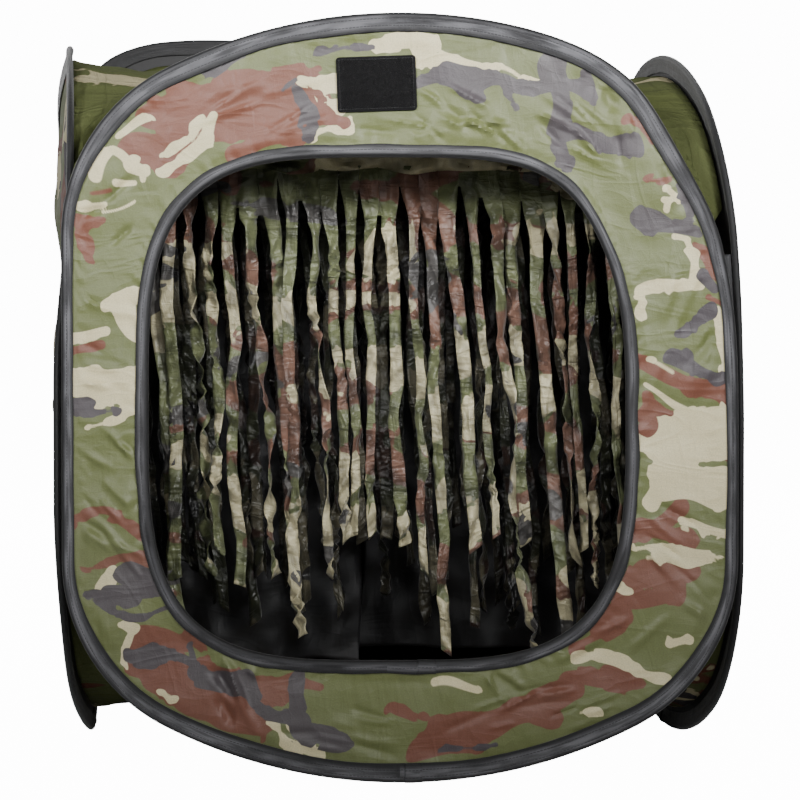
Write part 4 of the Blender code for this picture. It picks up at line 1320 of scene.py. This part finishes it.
def header(name, node, seed, tree, cloth_name, crumple):
    """Band sewn under the roof, its top edge following the roof's underside."""
    low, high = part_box(node)
    y = (low.y + high.y) / 2

    def roof_above(x):
        return tree.ray_cast(Vector((x, y, low.z)), Vector((0, 0, 1)))[0]

    left, right = low.x, high.x
    while roof_above(left) is None:
        left += HEADER_MARGIN / 4
    while roof_above(right) is None:
        right -= HEADER_MARGIN / 4
    left, right = left + HEADER_MARGIN, right - HEADER_MARGIN
    samples = np.linspace(0, 1, 60)
    tops = [roof_above(x).z - 0.0015 for x in left + (right - left) * samples]

    def shape(u, v):
        x = left + (right - left) * u
        top = np.interp(u, samples, tops)
        lower = low.z + 0.0018 * ripples(seed, 0.05, x)
        z = lower + (top - lower) * v
        waves = crumple * gathers(seed, x, (top - lower) * v)
        ends = smooth(0, 0.03, u) * smooth(0, 0.03, 1 - u)
        return np.column_stack((x, y + waves * (1 - 0.7 * v) * ends, z))

    size = (right - left, max(tops) - low.z)
    mesh = grid_mesh(name, 160, 24, shape, size)
    band = make_piece(mesh, material(cloth_name), thickness=CLOTH)
    return band


def strip_row(name, node, seed, cloth_name, header_seed, gathered):
    """Row of narrow strips cut from one band: crumpled, twisted and swinging a little."""
    curtains = bpy.context.scene.blind_curtains
    low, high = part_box(node)
    y, top = (low.y + high.y) / 2, high.z + HEADER_LAP
    count = round((high.x - low.x - curtains.strip) / curtains.pitch) + 1
    across_faces, band_rows, strip_rows = 4, 3, 116
    columns, rows = count * (across_faces + 1) - 1, band_rows + strip_rows
    draw = np.random.default_rng(seed)
    lengths = curtains.shortest + (curtains.longest - curtains.shortest) * draw.uniform(
        0, 1, count)
    breadth = draw.uniform(0.66, 1.10, count)
    twist = np.where(draw.uniform(0, 1, count) < 0.25, draw.uniform(0.9, 1.9, count),
                     draw.uniform(0.1, 0.55, count))
    phase = draw.uniform(0, 2 * pi, (6, count))
    stride = draw.uniform(0.12, 0.24, count)
    slant = curtains.slant * draw.uniform(0.3, 1.7, count)
    slant *= 1 - 0.6 * smooth(0.75, 1.0, np.linspace(0, 1, count))
    curl = draw.uniform(-0.012, 0.012, count) * (draw.uniform(0, 1, count) < 0.5)
    crease_step = curtains.crease_step * draw.uniform(1.0, 2.2, count)
    lean = draw.uniform(0.7, 2.4, count) * draw.choice((1, 1, -1), count)
    depth_step = np.where(np.arange(count) % 2 == 0, 0.0022, -0.0022)
    slots = draw.integers(0, 12, count) + band_rows
    knots = 14
    bends = draw.uniform(-1, 1, (2, count, knots)) * np.array((0.0028, 0.0050))[:, None, None]
    bends[:, :, 0] = 0
    mean = (curtains.shortest + curtains.longest) / 2

    def bent(which, strip, s):
        place = np.clip(s / curtains.bend_step, 0, knots - 1.001)
        before = place.astype(int)
        after = place - before
        return bends[which, strip, before] * (1 - after) + bends[which, strip, before + 1] * after

    def shape(u, v):
        column, row = np.rint(u * columns).astype(int), np.rint((1 - v) * rows).astype(int)
        strip, k = column // (across_faces + 1), column % (across_faces + 1)
        part = k / across_faces - 0.5
        run = np.maximum(row - band_rows, 0) / strip_rows
        own = smooth(0.10, 0.40, run)
        s = run * (lengths[strip] * own + mean * (1 - own) - curtains.band)
        hang = smooth(-0.01, 0.05, s)
        slot = np.where(part < 0, slots[strip - 1], slots[strip])
        spare = (curtains.pitch - curtains.strip - 0.0008) * (1 - smooth(slot, slot + 10, row))
        aside = part * (curtains.strip * (1 + (breadth[strip] - 1) * hang) + spare)
        turned = twist[strip] * hang * (0.7 + 0.8 * smooth(0.08, 0.26, s))
        angle = turned * np.sin(2 * pi * s / stride[strip] + phase[0, strip])
        width = 1 + 0.08 * hang * ripples(seed + 1, 0.030, s, strip * 0.31 + np.sign(aside))
        zigzag = (s + aside * lean[strip]) / crease_step[strip] + phase[1, strip]
        zigzag = zigzag + 0.5 * ripples(seed + 5, 0.08, s, strip * 0.37)
        crease = 2 * np.abs(2 * (zigzag % 1.0) - 1) - 1
        crease *= curtains.crumple * hang * (0.6 + 0.4 * ripples(seed + 2, 0.07, s, strip * 0.2))
        sway_x = slant[strip] * s + 0.0014 * hang * np.sin(2 * pi * s / 0.19 + phase[2, strip])
        sway_x = sway_x + bent(0, strip, s)
        sway_y = 0.0035 * hang * np.sin(2 * pi * s / 0.23 + phase[4, strip])
        sway_y = sway_y + depth_step[strip] * hang + bent(1, strip, s)
        to_end = np.maximum(s - (lengths[strip] - curtains.band - 0.045), 0) / 0.045
        sway_y = sway_y + curl[strip] * to_end ** 2
        cup = 18.0 * np.sin(phase[5, strip] + s * 25) * (aside ** 2)
        x = low.x + strip * curtains.pitch + curtains.strip / 2
        sway_y = sway_y + gathered * gathers(header_seed, x + aside, 0.0) * (1 - hang)
        x = x + sway_x
        x = x + aside * width * np.cos(angle) - (crease + cup) * np.sin(angle)
        inward = aside * width * np.sin(angle) + (crease + cup) * np.cos(angle)
        band = np.minimum(row / band_rows, 1) * curtains.band
        ragged = 0.004 * to_end * part * lean[strip]
        return np.column_stack((x, y + HEADER_GAP + inward + sway_y, top - band - s + ragged))

    def cut(u, v):
        column = int(u * columns)
        return (column % (across_faces + 1) == across_faces
                and (1 - v) * rows > slots[column // (across_faces + 1)])

    mesh = grid_mesh(name, columns, rows, shape, (high.x - low.x, curtains.longest), cut=cut)
    comb = make_piece(mesh, material(cloth_name), thickness=STRIP_CLOTH, sharp=55)
    return comb


def backing_sheet(name, node, seed):
    """Black sheet that hangs behind the strips in soft folds."""
    low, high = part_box(node)
    width, y = high.x - low.x, (low.y + high.y) / 2
    top = high.z + HEADER_LAP

    def shape(u, v):
        hang = smooth(0, 0.12, high.z - (low.z + (top - low.z) * v))
        x = low.x + width * u
        z = low.z + (top - low.z) * v
        folds = 0.006 * ripples(seed, 0.10, x, z * 0.12) + 0.002 * ripples(seed + 1, 0.04, x, z)
        hem = 0.003 * ripples(seed + 2, 0.12, x) * (1 - v)
        side = 0.003 * ripples(seed + 3, 0.2, z) * hang
        return np.column_stack((x + side, y + HEADER_GAP + folds * hang, z + hem))

    mesh = grid_mesh(name, 90, 130, shape, (width, high.z - low.z))
    sheet = make_piece(mesh, material("black_backing"), thickness=CLOTH)
    return sheet


class BLIND_OT_curtains(bpy.types.Operator):
    """Headers, rows of strips and backing sheets"""

    bl_idname = "blind.curtains"
    bl_label = "Curtains"

    def execute(self, context):
        roof = bmesh.new()
        roof.from_mesh(bpy.data.objects["roof_cloth"].data)
        tree = BVHTree.FromBMesh(roof)
        roof.free()
        for seed, (row, cloth_name) in enumerate((
                ("curtain_front", "woodland_strip"), ("curtain_middle", "woodland_strip_middle_painted_shade"),
                ("curtain_rear", "woodland_strip_rear_painted_shade"))):
            band = header(row + "_header_cloth", row + "_header", 300 + seed * 10, tree,
                          "woodland_header", HEADER_GATHER)
            strips = strip_row(row + "_cloth", row + "_strips", 400 + seed * 10, cloth_name,
                               300 + seed * 10, HEADER_GATHER)
            finish_piece(band, "front", "camo_lining", row + "_header")
            finish_piece(strips, row, "strip_cloth", row + "_strips")
            fold_flat(band, strips)
        for seed, row in enumerate(("backing_left", "backing_right")):
            band = header(row + "_header_cloth", row + "_header", 500 + seed * 10, tree,
                          "black_backing", BACKING_GATHER)
            sheet = backing_sheet(row + "_cloth", row + "_sheet", 600 + seed * 10)
            finish_piece(band, "front", "backing_cloth", row + "_header")
            finish_piece(sheet, row, "backing_cloth", row + "_sheet")
            fold_flat(band, sheet)
        return {"FINISHED"}


# ---- Loop patch and corner tapes -----------------------------------------------------

def repeated(name, one, spots):
    """Copies of a small mesh, each turned and moved by one of the spots' matrices."""
    bm = bmesh.new()
    for _ in spots:
        bm.from_mesh(one)
    mesh = mesh_from(bm, name)
    points = read_points(mesh).reshape(len(spots), -1, 3)
    turns = np.array([[list(row) for row in spot] for spot in spots])
    points = np.einsum("nij,npj->npi", turns[:, :3, :3], points) + turns[:, None, :3, 3]
    write_points(mesh, points.reshape(-1, 3))
    return mesh


def pile_loop(radius, thread):
    """One standing loop of pile: a thin thread bent into an arch."""
    bm = bmesh.new()
    made = bmesh.ops.create_circle(bm, segments=3, radius=thread)
    bmesh.ops.translate(bm, vec=(radius, 0, 0), verts=made["verts"])
    bmesh.ops.spin(bm, geom=bm.verts[:] + bm.edges[:], cent=(0, 0, 0), axis=(0, -1, 0),
                   dvec=(0, 0, 0), angle=pi, steps=6)
    return mesh_from(bm, "pile_loop")


def stitch(run, thread):
    """One stitch lying on the cloth."""
    bm = bmesh.new()
    bmesh.ops.create_cube(bm, size=1)
    bmesh.ops.scale(bm, vec=(run, thread, thread), verts=bm.verts)
    bmesh.ops.bevel(bm, geom=bm.edges[:], offset=thread * 0.3, segments=1, affect="EDGES",
                    profile=0.5, material=-1)
    return mesh_from(bm, "stitch")


class BLIND_OT_patch(bpy.types.Operator):
    """Loop fastener patch above the opening"""

    bl_idname = "blind.patch"
    bl_label = "Loop patch"

    def execute(self, context):
        width, height, thick, tilt = 0.068, 0.047, 0.0012, radians(2.0)
        pile_radius, pile_thread = 0.00062, 0.00013
        stitch_run, stitch_pitch, stitch_thread, hem = 0.0021, 0.0026, 0.00045, 0.0025
        face_y = PATCH_MIDDLE.y - 0.0002
        to_wall = (Matrix.Translation((PATCH_MIDDLE.x, face_y, PATCH_MIDDLE.z))
                   @ Matrix.Rotation(tilt, 4, "Y").inverted()
                   @ Matrix.Rotation(pi / 2, 4, "X"))
        bm = bmesh.new()
        bmesh.ops.create_cube(bm, size=1)
        bmesh.ops.scale(bm, vec=(width, height, thick), verts=bm.verts)
        upright = [e for e in bm.edges if abs(e.verts[0].co.z - e.verts[1].co.z) > thick / 2]
        bmesh.ops.bevel(bm, geom=upright, offset=0.0028, segments=5, affect="EDGES",
                        profile=0.5, material=-1)
        rim = [e for e in bm.edges if min(v.co.z for v in e.verts) > thick / 4]
        bmesh.ops.bevel(bm, geom=rim, offset=0.0005, segments=2, affect="EDGES",
                        profile=0.5, material=-1)
        bmesh.ops.transform(bm, matrix=to_wall, verts=bm.verts)
        ground = make_piece(mesh_from(bm, "loop_patch_ground"), material("pile_ground"))
        draw = np.random.default_rng(700)
        spots = []
        columns, rows, margin = 66, 44, 0.0022
        for column in range(columns):
            for row in range(rows):
                x = (column / (columns - 1) - 0.5) * (width - 2 * margin)
                z = (row / (rows - 1) - 0.5) * (height - 2 * margin)
                spot = (Matrix.Translation((x + draw.uniform(-0.0003, 0.0003),
                                            z + draw.uniform(-0.0003, 0.0003), thick / 2))
                        @ Matrix.Rotation(draw.uniform(0, pi), 4, "Z")
                        @ Matrix.Rotation(draw.uniform(-0.5, 0.5), 4, "X")
                        @ Matrix.Scale(draw.uniform(0.7, 1.25), 4))
                spots.append(to_wall @ spot)
        pile = make_piece(repeated("loop_patch_pile", pile_loop(pile_radius, pile_thread),
                                   spots), material("pile_thread"))
        spots = []
        wide, tall = width - 2 * hem, height - 2 * hem
        for run, x, z, turn in ((wide, 0.0, -tall / 2, 0), (wide, 0.0, tall / 2, 0),
                                (tall, wide / 2, 0.0, pi / 2), (tall, -wide / 2, 0.0, pi / 2)):
            for step in range(int(run / stitch_pitch) + 1):
                along = step * stitch_pitch - run / 2
                spots.append(to_wall @ Matrix.Translation(
                    (x + along * cos(turn), z + along * sin(turn), thick / 2 + 0.0006))
                    @ Matrix.Rotation(turn + draw.uniform(-0.06, 0.06), 4, "Z"))
        sewing = make_piece(repeated("loop_patch_stitches", stitch(stitch_run, stitch_thread),
                                     spots), material("sewing_thread"))
        finish_piece(ground, "front", "loop_pile", "loop_patch")
        for thing in (pile, sewing):
            finish_piece(thing, "front", "loop_pile")
        return {"FINISHED"}


def corner_tape(name, node, first, second, seed):
    """Folded tape inside an upright seam, one leg along each wall."""
    low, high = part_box(node)
    corner = np.array(((low.x + high.x) / 2, (low.y + high.y) / 2, 0))
    legs = []
    for wall in (first, second):
        foot = wall.centre + wall.inward * TAPE_STANDOFF
        sign = -1.0 if (corner - wall.centre) @ wall.across > 0 else 1.0
        legs.append((foot, wall.across * sign))
    (p, d), (q, e) = legs
    along = ((q[0] - p[0]) * e[1] - (q[1] - p[1]) * e[0]) / (d[0] * e[1] - d[1] * e[0])
    bend = p + d * along
    flip = np.cross(d, (0, 0, 1)) @ first.inward < 0

    def shape(u, v):
        side = (2 * u - 1) * (-1 if flip else 1)
        run = np.abs(side) * CORNER_TAPE_LEG
        leg = np.where((side < 0)[:, None], d, e)
        rounding = 0.0012 * np.exp(-run / 0.0012)
        inward = (d + e) / np.linalg.norm(d + e)
        pucker = 0.0005 * (1 + ripples(seed, 0.02, v * 0.25, u * 0.03)) * np.abs(side)
        points = bend + leg * run[:, None] + inward * rounding[:, None]
        normal = np.where((side < 0)[:, None], first.inward, second.inward)
        points = points + normal * np.maximum(pucker, 0)[:, None]
        points[:, 2] = low.z + (high.z - low.z) * v
        return sag(points, second.name)

    mesh = grid_mesh(name, 16, 70, shape, (2 * CORNER_TAPE_LEG, high.z - low.z))
    tape = make_piece(mesh, material("dark_tape"), thickness=TAPE)
    return tape


class BLIND_OT_tapes(bpy.types.Operator):
    """Seam tapes inside the four upright corners"""

    bl_idname = "blind.tapes"
    bl_label = "Corner tapes"

    def execute(self, context):
        walls = make_walls()
        corners = (("front", "left", "front"), ("front", "right", "front"),
                   ("rear", "left", "left_wall"), ("rear", "right", "rear_wall"))
        for seed, (end, side, body) in enumerate(corners):
            node = f"corner_tape_{end}_{side}"
            tape = corner_tape(node + "_cloth", node, walls[end], walls[side], 800 + seed)
            finish_piece(tape, body, "binding_tape", node)
            if end == "front":
                fold_flat(tape)
        return {"FINISHED"}


# ---- Stage ---------------------------------------------------------------------------

class BLIND_OT_stage(bpy.types.Operator):
    """Pale floor, soft lights and the camera"""

    bl_idname = "blind.stage"
    bl_label = "Stage"

    def execute(self, context):
        stage = context.scene.blind_stage
        bm = bmesh.new()
        bmesh.ops.create_grid(bm, x_segments=1, y_segments=1, size=stage.floor / 2)
        mesh = mesh_from(bm, "studio_floor")
        mesh.materials.append(self.floor_material(stage))
        floor = bpy.data.objects.new("studio_floor", mesh)
        lights = []
        for name, side, power, place, target, cone, radius in (
                ("key_light", 1, stage.key, stage.key_place, stage.key_target,
                 stage.key_cone, 0.25),
                ("second_light", -1, stage.second, stage.key_place, stage.key_target,
                 stage.key_cone, 0.25),
                ("sheen_light", 1, stage.sheen, stage.sheen_place, stage.sheen_target,
                 stage.sheen_cone, 0.30)):
            made = self.light(name, "SPOT", power, side, place, target)
            made.data.spot_size, made.data.spot_blend = cone, 1.0
            made.data.shadow_soft_size = radius
            lights.append(made)
        for name, side, power, place, target, size in (
                ("rear_light_right", 1, stage.rear, stage.rear_place, stage.rear_target, 1.5),
                ("rear_light_left", -1, stage.rear, stage.rear_place, stage.rear_target, 1.5),
                ("fill_light", 1, stage.fill, stage.fill_place, stage.fill_target, 1.4)):
            made = self.light(name, "AREA", power, side, place, target)
            made.data.size = size
            lights.append(made)
        camera = bpy.data.objects.new("camera", bpy.data.cameras.new("camera"))
        camera.data.lens = stage.focal
        camera.data.shift_y = stage.shift
        camera.location = stage.eye
        camera.rotation_euler = (pi / 2 - stage.tilt, 0, 0)
        for thing in (floor, *lights, camera):
            context.scene.collection.objects.link(thing)
        context.scene.camera = camera
        context.scene.world = self.surroundings(stage)
        return {"FINISHED"}

    @staticmethod
    def surroundings(stage):
        """White walls that look brighter than the light they give."""
        world = bpy.data.worlds.new("studio")
        world.use_nodes = True
        tree = world.node_tree
        seen = add(tree, "ShaderNodeLightPath").outputs["Is Camera Ray"]
        background = tree.nodes["Background"].inputs
        background["Color"].default_value = (1, 1, 1, 1)
        tree.links.new(ramp(tree, seen, 0, 1, stage.sky, stage.backdrop), background["Strength"])
        return world

    @staticmethod
    def floor_material(stage):
        """Matt pale paint that fades into the walls."""
        tree, inputs = begin_material("studio_floor", 0.9, Base_Color=(0.86, 0.86, 0.86, 1),
                                      Emission_Strength=stage.backdrop)
        seen = add(tree, "ShaderNodeLightPath").outputs["Is Camera Ray"]
        tree.links.new(seen, inputs["Emission Color"])
        return bpy.data.materials["studio_floor"]

    @staticmethod
    def light(name, kind, power, side, place, target):
        """A light that faces a target, its place mirrored where side is -1."""
        thing = bpy.data.objects.new(name, bpy.data.lights.new(name, kind))
        thing.data.energy = power
        thing.location = (place[0] * side, place[1], place[2])
        facing = Vector(target) - thing.location
        thing.rotation_euler = facing.to_track_quat("-Z", "Y").to_euler()
        return thing


# ---- Add-on --------------------------------------------------------------------------

OPERATORS = (BLIND_OT_walls, BLIND_OT_bindings, BLIND_OT_roof, BLIND_OT_curtains,
             BLIND_OT_patch, BLIND_OT_tapes, BLIND_OT_stage)


class BLIND_PT_panel(bpy.types.Panel):
    """Buttons for every kind of piece, and their settings"""

    bl_idname = "BLIND_PT_panel"
    bl_label = "Pop up ground blind"
    bl_space_type = "VIEW_3D"
    bl_region_type = "UI"
    bl_category = "Blind"

    def draw(self, context):
        for operator in OPERATORS:
            self.layout.operator(operator.bl_idname)
        for name, group in SETTINGS.items():
            box = self.layout.box()
            for setting in group.__annotations__:
                box.prop(getattr(context.scene, name), setting)


def register():
    """Add the settings, the operators and the panel."""
    for name, group in SETTINGS.items():
        bpy.utils.register_class(group)
        setattr(bpy.types.Scene, name, PointerProperty(type=group))
    for cls in (*OPERATORS, BLIND_PT_panel):
        bpy.utils.register_class(cls)


def unregister():
    """Take them away again."""
    for cls in reversed((*OPERATORS, BLIND_PT_panel)):
        bpy.utils.unregister_class(cls)
    for name, group in reversed(SETTINGS.items()):
        delattr(bpy.types.Scene, name)
        bpy.utils.unregister_class(group)


def main():
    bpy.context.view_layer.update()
    register()
    for operator in OPERATORS:
        group, name = operator.bl_idname.split(".")
        getattr(getattr(bpy.ops, group), name)()


if __name__ == "__main__":
    main()
